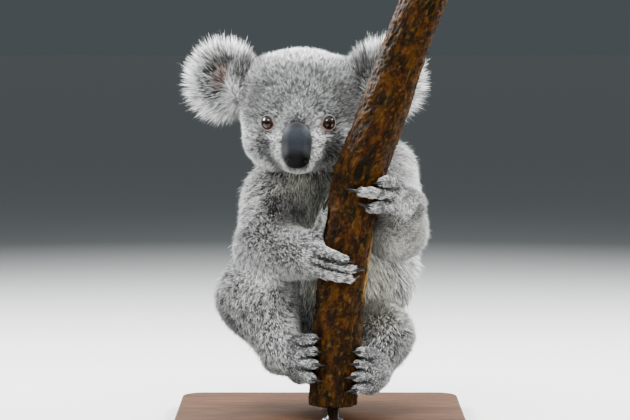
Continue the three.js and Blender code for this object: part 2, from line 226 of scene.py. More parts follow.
# Head swellings in the head's frame: centre, radii, depth of the coat.
SKULL = [
    ((0, 4, 9), (60, 60, 65.5), 5.5),
    ((-26, 2, 24), (40, 42, 42), 5.5),
    ((26, 2, 24), (40, 42, 42), 5.5),
    ((-22, -20, -30), (44, 42, 37), 5.5),
    ((22, -20, -30), (44, 42, 37), 5.5),
    ((-40, -2, -4), (29, 36, 34), 5.0),
    ((40, -2, -4), (29, 36, 34), 5.0),
    ((0, -34, 0), (42, 30, 36), 4.0),
    ((0, -56, -16), (21, 27, 30), 2.6),
    ((0, -56, -40), (31, 35, 28), 3.0),
]
TORSO = [
    ((-16, 28, 326), (42, 36, 40), 8.0),
    ((-12, 16, 298), (58, 52, 38), 9.0),
    ((-34, 12, 262), (48, 44, 44), 11.0),
    ((42, 12, 278), (50, 46, 46), 11.0),
    ((4, 18, 238), (80, 66, 66), 12.0),
    ((16, 20, 178), (101, 83, 80), 13.0),
    ((3, 25, 112), (88, 75, 67), 13.0),
]

# Joints of the limbs: place, radius out to the tips of the coat, depth of the coat.
JOINTS = {
    "right": {
        "shoulder": ((-50, 2, 258), 42, 11), "elbow": ((-57, -42, 205), 40.5, 9.5),
        "wrist": ((-15, -92, 203), 28, 6), "hip": ((-28, 22, 112), 48, 12),
        "knee": ((-70, -38, 149), 48, 9.5), "ankle": ((-40, -74, 92), 27, 5.5),
    },
    "left": {
        "shoulder": ((70, 5, 288), 45, 11), "elbow": ((88, -44, 228), 34, 8.5),
        "wrist": ((92, -86, 258), 25, 5.5), "hip": ((34, 22, 108), 48, 12),
        "knee": ((69, -43, 106), 38, 9), "ankle": ((57, -74, 72), 25, 5.5),
    },
}

# Hands and feet on the branch. A digit runs from one (angle, height) on the branch to another, angle 0
# towards -Y and 90 towards +X, with its radii at the root and the tip, its claw's length and rise.
PAWS = {
    "hand_right": {
        "palm": (-84, 205, 9, (15, 21, 25)),
        "digits": {
            "thumb_1": ((-96, 222), (-86, 252), (7, 5), 11, 5),
            "thumb_2": ((-104, 210), (-138, 222), (7, 5.5), 11, 2),
            "finger_3": ((-82, 214), (-6, 201), (9.5, 7), 12, -3),
            "finger_4": ((-82, 203), (12, 190.5), (8.5, 6), 17, -2),
            "finger_5": ((-82, 191), (10, 180), (8.5, 5.8), 12, 3),
        },
    },
    "hand_left": {
        "palm": (92, 270, 10, (15, 20, 24)),
        "digits": {
            "thumb_1": ((88, 287), (50, 286), (9, 7), 10, -1),
            "thumb_2": ((104, 276), (142, 282), (7.5, 6), 11, 2),
            "finger_3": ((86, 272), (10, 276), (8.5, 6), 17, 4),
            "finger_4": ((88, 261), (37, 257.5), (8.5, 6.2), 15, 7),
            "finger_5": ((102, 258), (140, 254), (7.5, 6), 11, 2),
        },
    },
    "foot_right": {
        "palm": (-96, 86, 13, (17, 26, 29)),
        "digits": {
            "toe_1": ((-112, 72), (-148, 58), (10, 8), 0, 0),
            "toe_2": ((-88, 106), (-58, 112), (8.5, 6.2), 9, 1),
            "toe_3": ((-88, 95), (-54, 98), (8, 6), 9, 0),
            "toe_4": ((-86, 84), (-50, 84), (9, 6.6), 12, -1),
            "toe_5": ((-88, 71), (-54, 68), (9, 6.6), 12, -3),
        },
    },
    "foot_left": {
        "palm": (98, 72, 13, (17, 26, 27)),
        "digits": {
            "toe_1": ((114, 60), (150, 48), (10, 8), 0, 0),
            "toe_2": ((88, 92), (58, 97), (8.5, 6.2), 9, 1),
            "toe_3": ((88, 81), (54, 84), (8, 6), 9, 0),
            "toe_4": ((86, 70), (50, 70), (9, 6.6), 12, -1),
            "toe_5": ((88, 58), (54, 56), (9, 6.6), 12, -3),
        },
    },
}
PAW_COAT = 1.6
DIGIT_POINTS = 5

BRANCH_Y = -95.0
BRANCH_BOTTOM, BRANCH_TOP = 36.0, 520.0
BRANCH_LINE = ((14, 36), (18.5, 112), (28.5, 212), (45, 295), (66, 358), (100, 448), (127, 520))
BRANCH_GIRTH = ((27, 36), (27.2, 160), (26.6, 240), (30, 300), (28.6, 355), (27, 410), (26, 520))


def table(rows, height):
    values, heights = zip(*rows)
    return np.interp(height, heights, values)


def branch_point(angle, height, clearance):
    """A point beside the branch. The angle is in degrees."""
    reach = table(BRANCH_GIRTH, height) + clearance
    turn = np.radians(angle)
    x = table(BRANCH_LINE, height) + reach * np.sin(turn)
    y = BRANCH_Y - reach * np.cos(turn)
    return np.stack(np.broadcast_arrays(x, y, height), axis=-1).astype(float)


def branch_distance(points):
    """How far points are outside the branch."""
    middle = table(BRANCH_LINE, points[..., 2])
    out = np.hypot(points[..., 0] - middle, points[..., 1] - BRANCH_Y)
    return out - table(BRANCH_GIRTH, points[..., 2])


# ---- the body as swellings ------------------------------------------------------------------------

swellings = []


def swell(part, field, low, high, width):
    swellings.append(Swelling(part, field, low, high, width))


def add_round(part, centre, radii, width, in_head=False):
    shape = ellipsoid(centre, radii)
    field = (lambda points: shape(to_head(points))) if in_head else shape
    place = from_head(centre) if in_head else np.array(centre, float)
    reach = max(radii)
    swell(part, field, place - reach, place + reach, width)


def add_cone(part, start, end, start_radius, end_radius, width):
    reach = max(start_radius, end_radius)
    low = np.minimum(start, end) - reach
    high = np.maximum(start, end) + reach
    swell(part, round_cone(start, end, start_radius, end_radius), low, high, width)


def ear_axes(side):
    place = EAR[side]
    axes = turn_z(SIDES[side] * math.radians(place["outward"])) @ turn_x(-math.radians(place["tip"]))
    return axes, np.array(place["at"])


def to_ear(points, side):
    axes, place = ear_axes(side)
    return (to_head(points) - place) @ axes


def bowl(out):
    """How far back the middle of the ear's plate lies, from its centre, 0, out to its rim, 1."""
    return 1.5 + 6.5 * (1 - np.minimum(out, 1.2) ** 2)


def ear_field(side, coat):
    """A bowl-shaped plate, open to the front. coat is how far its rim lies inside the fringe's end."""
    across, up = EAR["across"] - coat, EAR["up"] - coat
    half = 3.0 if coat > 0 else 7.5

    def field(points):
        x, y, z = np.moveaxis(to_ear(points, side), -1, 0)
        out = np.hypot(x / across, z / up)
        through = np.abs(y - bowl(out)) - half * (1.15 - 0.35 * out)
        beyond = (out - 1) * across
        return -smooth_low(-through, -beyond, 5)

    return field


def add_body(coat):
    """Fills the list of swellings. coat is 1 for the bare skin and 0 for the outline of the coat."""
    swellings.clear()
    for centre, radii, depth in TORSO:
        add_round("trunk", centre, np.subtract(radii, coat * depth), 26)
    for centre, radii, depth in SKULL:
        add_round("head", centre, np.subtract(radii, coat * depth), 14, in_head=True)
    for side, sign in SIDES.items():
        middle = from_head(EAR[side]["at"])
        swell(f"ear_{side}", ear_field(side, coat * EAR["fringe"]), middle - 60, middle + 60, 8)
        root = np.multiply(EAR["root_at"], (sign, 1, 1))
        add_round(f"ear_{side}", root, np.subtract(EAR["root_radii"], coat * np.array((5, 6, 9))), 18, True)
        places = {name: np.array(at, float) for name, (at, _, _) in JOINTS[side].items()}
        radii = {name: radius - coat * depth for name, (_, radius, depth) in JOINTS[side].items()}
        for part, start, end, width in (
            ("upper_arm", "shoulder", "elbow", 16), ("forearm", "elbow", "wrist", 12),
            ("thigh", "hip", "knee", 16), ("shin", "knee", "ankle", 12),
        ):
            add_cone(f"{part}_{side}", places[start], places[end], radii[start], radii[end], width)
        for kind, joint in (("hand", "wrist"), ("foot", "ankle")):
            add_paw(f"{kind}_{side}", places[joint], radii[joint], coat)


def digit_path(start, end, radii, coat):
    share = np.linspace(0, 1, DIGIT_POINTS)
    radius = mix(radii[0], radii[1], share) - coat * PAW_COAT
    points = branch_point(mix(start[0], end[0], share), mix(start[1], end[1], share), radius * 0.92 + 0.4)
    return points, radius


def add_paw(name, wrist, wrist_radius, coat):
    paw = PAWS[name]
    angle, height, clearance, radii = paw["palm"]
    centre = branch_point(angle, height, clearance)
    shrunk = np.subtract(radii, coat * PAW_COAT * 1.5)
    add_cone(name, wrist, centre, wrist_radius, min(shrunk[0], shrunk[1]), 10)
    add_round(name, centre, shrunk, 8)
    for start, end, digit_radii, _, _ in paw["digits"].values():
        points, radius = digit_path(start, end, digit_radii, coat)
        for index in range(DIGIT_POINTS - 1):
            add_cone(name, points[index], points[index + 1], radius[index], radius[index + 1],
                     6 if index == 0 else 2.2)


FAR = 60.0                      # the field wherever no swelling is near


class Grid:
    """A box of evenly spaced places that holds the joined field of all swellings."""

    def __init__(self, low, high, step):
        self.low, self.step = np.array(low, float), step
        self.shape = np.ceil((np.array(high) - self.low) / step).astype(int) + 1
        self.value = np.full(self.shape, FAR, np.float32)

    def fold(self, swelling, carve=False):
        """Joins a swelling to the field, or cuts it out."""
        margin = swelling.width + 3 * self.step
        start = np.maximum(np.floor((swelling.low - margin - self.low) / self.step).astype(int), 0)
        stop = np.minimum(np.ceil((swelling.high + margin - self.low) / self.step).astype(int), self.shape)
        if np.any(stop <= start):
            return
        lines = [self.low[axis] + self.step * np.arange(start[axis], stop[axis]) for axis in range(3)]
        points = np.stack(np.meshgrid(*lines, indexing="ij"), axis=-1)
        block = tuple(slice(a, b) for a, b in zip(start, stop))
        sign = -1 if carve else 1
        joined = smooth_low(sign * self.value[block], swelling.field(points), swelling.width)
        self.value[block] = sign * joined

    def sample(self, values, points):
        """The values at points between the grid's places."""
        scaled = (points - self.low) / self.step
        cell = np.clip(np.floor(scaled).astype(int), 0, self.shape - 2)
        share = np.clip(scaled - cell, 0, 1)
        total = 0
        for corner in itertools.product((0, 1), repeat=3):
            weight = np.prod(np.where(corner, share, 1 - share), axis=-1)
            place = tuple((cell + corner).T)
            total = total + values[place] * (weight if values.ndim == 3 else weight[:, None])
        return total

    def slopes(self):
        return np.stack(np.gradient(self.value, self.step), axis=-1)


def surface_net(grid):
    """The surface where the field changes sign, as points and rows of four corners."""
    field, shape = grid.value, grid.shape - 1
    inside = field < 0
    total = np.zeros(shape, np.uint8)
    for corner in itertools.product((0, 1), repeat=3):
        total += inside[tuple(slice(c, c + n) for c, n in zip(corner, shape))]
    cells = np.argwhere((total > 0) & (total < 8))
    number = np.full(shape, -1, np.int32)
    number[tuple(cells.T)] = np.arange(len(cells))
    sums, counts = np.zeros((len(cells), 3)), np.zeros((len(cells), 1))
    steps = np.eye(3, dtype=int)
    for axis in range(3):
        for beside in itertools.product((0, 1), repeat=2):
            start = np.insert(beside, axis, 0)
            one = field[tuple((cells + start).T)]
            other = field[tuple((cells + start + steps[axis]).T)]
            crossed = (one < 0) != (other < 0)
            share = np.where(crossed, one / np.where(crossed, one - other, 1), 0)
            sums += np.where(crossed[:, None], start + share[:, None] * steps[axis], 0)
            counts += crossed[:, None]
    points = (cells + sums / counts) * grid.step + grid.low
    quads = []
    for axis in range(3):
        across, up = (axis + 1) % 3, (axis + 2) % 3
        one = inside[tuple(slice(0, n) for n in shape)]
        other = inside[tuple(slice(int(k == axis), n + int(k == axis)) for k, n in enumerate(shape))]
        nodes = np.argwhere(one != other)
        nodes = nodes[(nodes[:, across] > 0) & (nodes[:, up] > 0)]
        corners = [nodes, nodes - steps[across], nodes - steps[across] - steps[up], nodes - steps[up]]
        rows = np.stack([number[tuple(corner.T)] for corner in corners], axis=1)
        outward = inside[tuple(nodes.T)]
        quads.append(np.where(outward[:, None], rows, rows[:, ::-1]))
    return points, np.concatenate(quads)


# ---- meshes ------------------------------------------------------------------------------------


def make_mesh(name, points, faces, material, tints=None, normals=None):
    """An object from points in millimetres and arrays of faces with equal numbers of corners."""
    mesh = bpy.data.meshes.new(name)
    corners = np.concatenate([rows.ravel() for rows in faces]).astype(np.int32)
    sides = np.concatenate([np.full(len(rows), rows.shape[1]) for rows in faces])
    starts = np.concatenate([[0], np.cumsum(sides)[:-1]]).astype(np.int32)
    mesh.vertices.add(len(points))
    mesh.vertices.foreach_set("co", (points * MM).astype(np.float32).ravel())
    mesh.loops.add(len(corners))
    mesh.loops.foreach_set("vertex_index", corners)
    mesh.polygons.add(len(starts))
    mesh.polygons.foreach_set("loop_start", starts)
    mesh.update(calc_edges=True)
    mesh.shade_smooth()
    if tints is not None:
        layer = mesh.color_attributes.new("tint", "FLOAT_COLOR", "POINT")
        colours = np.ones((len(points), 4), np.float32)
        colours[:, :3] = tints
        layer.data.foreach_set("color", colours.ravel())
    if normals is not None:
        layer = mesh.attributes.new("custom_normal", "FLOAT_VECTOR", "POINT")
        layer.data.foreach_set("vector", normals.astype(np.float32).ravel())
    mesh.materials.append(material)
    made = bpy.data.objects.new(name, mesh)
    scene.collection.objects.link(made)
    return made


def keep(piece, slot, *nodes):
    """The piece rides on the model's one body and stands for CAD nodes, which it hides; slot is not used."""
    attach(piece, "root")
    if nodes:
        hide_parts(*nodes)
    return piece


def lattice(rings, around):
    """Quads between closed rings of points that follow each other in one array."""
    ring, side = np.meshgrid(np.arange(rings - 1), np.arange(around), indexing="ij")
    after = (side + 1) % around
    below, above = ring * around, (ring + 1) * around
    rows = [below + side, below + after, above + after, above + side]
    return np.stack([row.ravel() for row in rows], axis=1)


def tube(rings, around):
    """A lattice closed by fans of triangles, whose middles are the two points after its rings."""
    index = np.arange(around)
    after = (index + 1) % around
    last, middle = (rings - 1) * around, rings * around
    start_cap = np.stack([np.full(around, middle), after, index], axis=1)
    end_cap = np.stack([np.full(around, middle + 1), last + index, last + after], axis=1)
    return [lattice(rings, around), start_cap, end_cap]


def bar(points, radii, around):
    """A closed round bar along points, with a radius at each, as points and faces."""
    ahead = unit(np.gradient(points, axis=0))
    helper = np.array((0.0, 0.0, 1.0)) if abs(ahead[0, 2]) < 0.8 else np.array((1.0, 0.0, 0.0))
    side = unit(np.cross(ahead, helper))
    up = np.cross(side, ahead)
    turns = circle(around)[None, :, None]
    ring = np.cos(turns) * side[:, None] + np.sin(turns) * up[:, None]
    rings = points[:, None] + ring * np.asarray(radii)[:, None, None]
    corners = np.concatenate([rings.reshape(-1, 3), points[:1], points[-1:]])
    return corners, [rows[:, ::-1] for rows in tube(len(points), around)]


# ---- materials ---------------------------------------------------------------------------------


class Shader:
    """A material with one Principled shader, and short calls for the nodes that feed it."""

    def __init__(self, name, **sockets):
        self.material = bpy.data.materials.new(name)
        self.material.use_nodes = True
        self.nodes = self.material.node_tree.nodes
        self.links = self.material.node_tree.links
        self.principled = self.nodes["Principled BSDF"]
        for socket, value in sockets.items():
            self.principled.inputs[socket.replace("_", " ")].default_value = value

    def node(self, kind, inputs=(), **settings):
        made = self.nodes.new(kind)
        for name, value in settings.items():
            setattr(made, name, value)
        for name, value in dict(inputs).items():
            if isinstance(value, bpy.types.NodeSocket):
                self.links.new(value, made.inputs[name])
            else:
                made.inputs[name].default_value = value
        return made

    def place(self):
        return self.node("ShaderNodeTexCoord").outputs["Object"]

    def attribute(self, name):
        return self.node("ShaderNodeAttribute", attribute_name=name).outputs["Color"]

    def stretched(self, scale):
        return self.node("ShaderNodeMapping", {"Vector": self.place(), "Scale": scale}).outputs["Vector"]

    def noise(self, scale, detail, roughness=0.55, stretch=None, distortion=0.0):
        inputs = {"Scale": scale, "Detail": detail, "Roughness": roughness, "Distortion": distortion}
        inputs["Vector"] = self.stretched(stretch) if stretch else self.place()
        return self.node("ShaderNodeTexNoise", inputs).outputs["Fac"]

    def ramp(self, factor, *stops):
        made = self.node("ShaderNodeValToRGB", {"Fac": factor})
        elements = made.color_ramp.elements
        while len(elements) < len(stops):
            elements.new(0.5)
        for element, (position, colour) in zip(elements, stops):
            element.position = position
            element.color = (*colour, 1)
        return made.outputs["Color"]

    def fade(self, factor, low, high, most=1.0, least=0.0):
        """Grey that runs from least, where the factor is low, to most, where it is high."""
        return self.ramp(factor, (low, (least,) * 3), (high, (most,) * 3))

    def blend(self, factor, one, other, mode="MIX"):
        made = self.node("ShaderNodeMix", data_type="RGBA", blend_type=mode)
        for name, value in (("Factor_Float", factor), ("A_Color", one), ("B_Color", other)):
            socket = next(s for s in made.inputs if s.identifier == name)
            if isinstance(value, bpy.types.NodeSocket):
                self.links.new(value, socket)
            else:
                socket.default_value = value if name == "Factor_Float" else (*value, 1)
        return next(s for s in made.outputs if s.identifier == "Result_Color")

    def bump(self, height, distance, strength=1.0, below=None):
        inputs = {"Height": height, "Distance": distance, "Strength": strength}
        if below is not None:
            inputs["Normal"] = below
        return self.node("ShaderNodeBump", inputs).outputs["Normal"]

    def feed(self, **sockets):
        for socket, value in sockets.items():
            self.links.new(value, self.principled.inputs[socket.replace("_", " ")])
        return self.material


def coat_material():
    shader = Shader("coat", Roughness=0.7, Sheen_Weight=0.4, Sheen_Roughness=0.4, Specular_IOR_Level=0.25)
    return shader.feed(Base_Color=shader.attribute("tint"))


def skin_material():
    shader = Shader("skin", Roughness=0.8, Specular_IOR_Level=0.3)
    hairs = shader.noise(900, 3, stretch=(1, 1, 0.35))
    streaks = shader.fade(hairs, 0.35, 0.7)
    colour = shader.blend(streaks, shader.attribute("tint"), (0.05, 0.045, 0.04), "MULTIPLY")
    colour = shader.blend(0.45, shader.attribute("tint"), colour)
    return shader.feed(Base_Color=colour, Normal=shader.bump(hairs, 0.0008))


def nose_material():
    shader = Shader("nose_leather", Roughness=0.62, Specular_IOR_Level=0.2)
    cells = shader.node("ShaderNodeTexVoronoi", {"Vector": shader.place(), "Scale": 1300.0})
    pebbles = cells.outputs["Distance"]
    soft = shader.noise(500, 3)
    gaps = shader.fade(pebbles, 0.0, 0.8, 0.6)
    colour = shader.blend(gaps, shader.attribute("tint"), (0.004, 0.004, 0.005))
    normal = shader.bump(soft, 0.0006, 0.5, shader.bump(pebbles, 0.00035, 0.7))
    return shader.feed(Base_Color=colour, Normal=normal)


def eye_material():
    shader = Shader("eye", Roughness=0.15, Specular_IOR_Level=0.4, Coat_Weight=0.5, Coat_Roughness=0.03)
    streaks = shader.fade(shader.noise(900, 3), 0.35, 0.7, 0.35)
    colour = shader.blend(streaks, shader.attribute("tint"), (0.02, 0.008, 0.004), "MULTIPLY")
    return shader.feed(Base_Color=colour)


def claw_material():
    shader = Shader("claw", Roughness=0.35, Specular_IOR_Level=0.4, Coat_Weight=0.15, Coat_Roughness=0.15)
    grain = shader.noise(700, 3, stretch=(1, 1, 0.3))
    colour = shader.ramp(grain, (0.3, (0.005, 0.005, 0.005)), (0.75, (0.018, 0.016, 0.015)))
    return shader.feed(Base_Color=colour, Normal=shader.bump(grain, 0.0002, 0.5))


def bark_material():
    shader = Shader("bark", Roughness=0.8, Specular_IOR_Level=0.15)
    flakes = shader.noise(330, 6, 0.62, (1, 1, 0.7), 0.8)
    specks = shader.noise(1100, 4, 0.6)
    shade = shader.fade(flakes, 0.40, 0.60, 0.42)
    colour = shader.blend(shade, shader.attribute("tint"), (0.30, 0.22, 0.16), "MULTIPLY")
    colour = shader.blend(shader.fade(specks, 0.60, 0.75, 0.3), colour, (0.11, 0.048, 0.012))
    rough = shader.fade(flakes, 0.3, 0.7, 0.75, 0.42)
    normal = shader.bump(specks, 0.0006, 0.6, shader.bump(flakes, 0.0016, 0.8))
    return shader.feed(Base_Color=colour, Normal=normal, Roughness=rough)


def wood_material():
    shader = Shader("stand_wood", Specular_IOR_Level=0.35)
    grain = shader.noise(9, 6, 0.6, (1.2, 14, 14), 0.8)
    pores = shader.noise(60, 3, 0.5, (1, 16, 16))
    dark, middle, light = (0.045, 0.020, 0.009), (0.075, 0.035, 0.016), (0.115, 0.057, 0.026)
    colour = shader.ramp(grain, (0.3, dark), (0.5, middle), (0.72, light))
    colour = shader.blend(shader.fade(pores, 0.55, 0.75, 0.6), colour, (0.02, 0.014, 0.01))
    rough = shader.fade(pores, 0.4, 0.7, 0.55, 0.38)
    return shader.feed(Base_Color=colour, Roughness=rough, Normal=shader.bump(pores, 0.0002, 0.5))


def steel_material():
    shader = Shader("stand_steel", Metallic=1.0, Specular_IOR_Level=0.5)
    streaks = shader.noise(700, 3, 0.6, (1, 1, 0.03))
    colour, rough = shader.fade(streaks, 0.3, 0.7, 0.64, 0.5), shader.fade(streaks, 0.3, 0.7, 0.38, 0.24)
    return shader.feed(Base_Color=colour, Roughness=rough, Normal=shader.bump(streaks, 0.00005, 0.4))


# ---- markings ------------------------------------------------------------------------------------

GREY_COAT = np.array((0.094, 0.097, 0.095))
# LIMB_COAT is far paler than the head's GREY_COAT, partly as painted light that lifts the shade deep in the
# limbs' longer fur.
LIMB_COAT = np.array((0.46, 0.461, 0.448))
BACK_COAT = np.array((0.125, 0.124, 0.118))
DARK_COAT = np.array((0.060, 0.059, 0.057))
PALE_COAT = np.array((0.66, 0.655, 0.64))
WHITE_COAT = np.array((0.88, 0.875, 0.85))
CREAM_COAT = np.array((0.80, 0.775, 0.70))
BROWN_COAT = np.array((0.40, 0.37, 0.29))
BELLY_COAT = np.array((0.46, 0.445, 0.375))
PINK_SKIN = np.array((0.46, 0.29, 0.25))

# Patches: colour, centre, radii and strength. Those of the head are in its frame, for both sides of it,
# and those of the ears are in the ear's frame, x towards the head.
HEAD_PATCHES = [
    (DARK_COAT, (54, -26, 10), (20, 26, 26), 0.4),
    (PALE_COAT, (54, -38, -40), (18, 30, 22), 0.3),
    (WHITE_COAT, (67, -4, -32), (11, 45, 32), 0.85),
    (PALE_COAT, (0, -12, 74), (74, 50, 22), 0.3),
    (PALE_COAT, (33, -64, -8), (14, 16, 15), 0.85),
    (PALE_COAT, (24, -60, -24), (13, 30, 9), 0.45),
    (DARK_COAT, (56, -6, 54), (18, 28, 20), 0.7),
    (DARK_COAT, (50, -38, 20), (18, 26, 26), 0.6),
    (DARK_COAT, (41, -52, -30), (8, 18, 7), 0.35),
    (PALE_COAT, (18, -82, -42), (8, 22, 11), 0.7),
    (DARK_COAT, (0, -66, 8), (26, 26, 18), 0.45),
    (WHITE_COAT, (0, -60, -72), (40, 40, 11), 0.9),
    (WHITE_COAT, (46, -30, -58), (20, 40, 14), 0.7),
]
LIP = ((20, -39), (14.5, -56), (9, -66))
# The path beside the mouth's corners where painted shade darkens the folds.
MOUTH_SHADE_PATH = ((27, -53), (20.5, -64))
BODY_PATCHES = [
    # The chest is a dulled cream rather than white: painted shade under the chin.
    (BELLY_COAT * 0.9, (-4, -46, 258), (62, 46, 58), 0.9),
    (BELLY_COAT, (18, -62, 196), (58, 44, 66), 0.9),
    (BELLY_COAT, (48, -60, 162), (60, 46, 56), 0.9),
    (BROWN_COAT, (20, -64, 118), (50, 40, 30), 0.4),
    (PALE_COAT, (104, -46, 268), (54, 62, 96), 0.85),
    (CREAM_COAT * 1.06, (96, -60, 230), (50, 50, 50), 0.95),
    (PALE_COAT, (112, -26, 170), (24, 50, 56), 0.75),
    # Painted shadow of the head and chest on the inside of the right upper arm.
    (DARK_COAT, (-38, -52, 254), (28, 36, 28), 0.9),
    (PALE_COAT, (-46, -76, 188), (56, 44, 26), 0.85),
    # Painted shadow on the right thigh under the forearm.
    (DARK_COAT, (-58, -70, 142), (34, 40, 18), 0.5),
    (DARK_COAT, (76, -72, 96), (34, 34, 40), 0.5),
]
FOREARM_EDGE = ((-94, 206), (-80, 182), (-40, 166), (4, 164))
# The dark ear patches are partly painted shade in the hollow of the ear's bowl.
EAR_PATCHES = [
    (DARK_COAT, (0, 22), (22, 14), 0.92),
    (PINK_SKIN, (0, 3), (11, 12), 0.55),
    (WHITE_COAT, (16, -18), (15, 18), 1.0),
    (DARK_COAT, (-8, -4), (7, 12), 0.5),
    (DARK_COAT, (4, -30), (8, 5), 0.6),
    (DARK_COAT, (27, 16), (14, 24), 0.92),
]


def ear_share(weights):
    return (weights["ear_right"] + weights["ear_left"])[:, None]


def patch_share(points, centre, radii):
    return 1 - ease(0.55, 1.25, np.linalg.norm((points - np.array(centre)) / radii, axis=-1))[:, None]


def markings(points, weights):
    """The coat's base colour at points of the skin, given how much of each part they are."""
    is_head = weights["head"][:, None]
    is_ear = ear_share(weights)
    cloud = noise(points, 14, 5)[:, None]
    behind = ease(-55, 20, points[:, 1:2]) * mix(0.75, 1.0, weights["trunk"][:, None])
    colour = mix(LIMB_COAT, BACK_COAT, behind)
    colour = mix(colour, GREY_COAT, is_head + is_ear) * (0.85 + 0.3 * cloud)
    local = to_head(points)
    folded = np.concatenate([np.abs(local[:, :1]), local[:, 1:]], axis=1)
    for tone, centre, radii, strength in HEAD_PATCHES:
        colour = mix(colour, tone, (is_head + 0.5 * is_ear) * strength * patch_share(folded, centre, radii))
    face = is_head * ease(-36, -46, local[:, 1:2])
    flat = folded[:, (0, 2)]
    # Painted shade in the folds beside the mouth's corners, outside the white lip.
    mouth_fold_shade = (1 - ease(4.0, 6.5, path_distance(flat, MOUTH_SHADE_PATH)))[:, None] * ease(-44, -56, local[:, 1:2])
    colour = mix(colour, DARK_COAT * 0.08, face * mouth_fold_shade)
    colour = mix(colour, WHITE_COAT, face * (1 - ease(1.6, 3.2, path_distance(flat, LIP)))[:, None])
    for tone, centre, radii, strength in BODY_PATCHES:
        share = (1 - is_head - is_ear) * strength * patch_share(points, centre, radii)
        colour = mix(colour, tone, share)
    right_arm = sum(weights[f"{part}_right"] for part in ("upper_arm", "forearm", "hand"))
    edge = right_arm * (1 - ease(5, 14, path_distance(points[:, (0, 2)], FOREARM_EDGE)))
    colour = mix(colour, WHITE_COAT, 0.85 * edge[:, None])
    rump = patch_share(points, (5, 96, 95), (72, 44, 46)) * ease(0.5, 0.68, noise(points, 9, 8))[:, None]
    colour = mix(colour, PALE_COAT, 0.7 * rump)
    for side in SIDES:
        colour = mix(colour, ear_colour(points, side, colour), weights[f"ear_{side}"][:, None])
    for name in PAWS:
        # Between the digits the paws are darkened by the crease mask: painted shade in the valleys.
        tone = mix(PALE_COAT * 0.72, DARK_COAT * 0.25, crease(points, name)[:, None])
        colour = mix(colour, tone, 0.9 * weights[name][:, None])
    return colour


def path_distance(points, path):
    """The distance from points to a path of straight lengths."""
    distances = []
    for start, end in zip(np.array(path[:-1], float), np.array(path[1:], float)):
        along = end - start
        share = np.clip((points - start) @ along / (along @ along), 0, 1)
        distances.append(np.linalg.norm(points - start - share[:, None] * along, axis=1))
    return np.min(distances, axis=0)


def crease(points, name):
    """1 in the valleys between a paw's digits and 0 on the digits' backs."""
    distances = []
    for start, end, radii, _, _ in PAWS[name]["digits"].values():
        path, _ = digit_path(start, end, radii, 1)
        distances.append(path_distance(points, path))
    nearest, second = np.sort(distances, axis=0)[:2]
    return (1 - ease(1.5, 6.0, second - nearest)) * (1 - ease(11, 18, nearest))


def ear_reach(points, side):
    """0 in the middle of the ear's skin and 1 at its rim."""
    place = to_ear(points, side)
    return np.hypot(place[:, 0] / (EAR["across"] - EAR["fringe"]), place[:, 2] / (EAR["up"] - EAR["fringe"]))


def ear_colour(points, side, colour):
    """Dark streaks, partly painted shade in the hollow, and pink streaks in the bowl of the ear and white at
    its rim, but for the side at the head.
    """
    place = to_ear(points, side)
    flat = np.stack([-SIDES[side] * place[:, 0], place[:, 2]], axis=1)
    out = ear_reach(points, side)
    front = (1 - ease(-1, 4, place[:, 1] - bowl(out)))[:, None]
    inner = np.repeat(GREY_COAT[None] * 2.0, len(points), axis=0)
    for tone, centre, radii, strength in EAR_PATCHES:
        inner = mix(inner, tone, strength * patch_share(flat, centre, radii))
    tone = mix(colour, inner, front)
    rim = ease(0.6, 0.92, out) * (1 - ease(2, 16, flat[:, 0] - 0.5 * np.abs(flat[:, 1])))
    return mix(tone, WHITE_COAT, rim[:, None])


# ---- skin --------------------------------------------------------------------------------------

SKIN_STEP, OUTLINE_STEP = 2.2, 4.4
BODY_LOW, BODY_HIGH = (-168, -142, 34), (164, 116, 446)



def body_grid(coat, step):
    add_body(coat)
    grid = Grid(BODY_LOW, BODY_HIGH, step)
    for swelling in swellings:
        grid.fold(swelling)
    return grid


outline = body_grid(0, OUTLINE_STEP)
body = body_grid(1, SKIN_STEP)
for sign in SIDES.values():
    centre = eye_centre(sign)
    socket = ellipsoid(centre, np.full(3, EYE["radius"]))
    body.fold(Swelling("head", socket, centre - 12, centre + 12, 2.0), carve=True)

body_slopes = body.slopes()
skin_points, skin_quads = surface_net(body)


def normals_at(points):
    return unit(body.sample(body_slopes, points))


for _ in range(2):
    slope = body.sample(body_slopes, skin_points)
    away = body.sample(body.value, skin_points)[:, None] / np.maximum(dot(slope, slope), 0.2)
    skin_points = skin_points - slope * np.clip(away, -1.0, 1.0)

PARTS = sorted({swelling.part for swelling in swellings})


def part_weights(points, softness=5.0):
    """How much a point belongs to each part, as shares that add up to one, and the nearest part."""
    fields = np.full((len(PARTS), len(points)), 200.0)
    for swelling in swellings:
        row = PARTS.index(swelling.part)
        near = np.all((points > swelling.low - 25) & (points < swelling.high + 25), axis=1)
        if near.any():
            fields[row, near] = np.minimum(fields[row, near], swelling.field(points[near]))
    shares = np.exp(-(fields - fields.min(axis=0)) / softness)
    shares /= shares.sum(axis=0)
    return dict(zip(PARTS, shares)), fields.argmin(axis=0)


# Rings of the eyelids: degrees beyond the opening, share of the way to the skin, height over the eyeball,
# and colour below and above.
LIDS = (
    (-4, 0, 0.05, DARK_COAT * 0.2, DARK_COAT * 0.2),
    (0, 0, 0.3, DARK_COAT * 0.2, DARK_COAT * 0.2),
    (1.5, 0, 0.75, DARK_COAT * 0.5, DARK_COAT * 0.3),
    (6, 0, 1.15, PINK_SKIN * 0.9, DARK_COAT),
    (6, 0.3, 1.3, mix(PINK_SKIN, PALE_COAT, 0.35) * 0.75, PALE_COAT * 0.28),
    (6, 0.65, 1.0, GREY_COAT * 1.2, GREY_COAT * 1.1),
    (6, 1, 0.5, GREY_COAT * 0.8, GREY_COAT * 0.8),
)
LID_POINTS = 56
LID_END = math.radians(96)


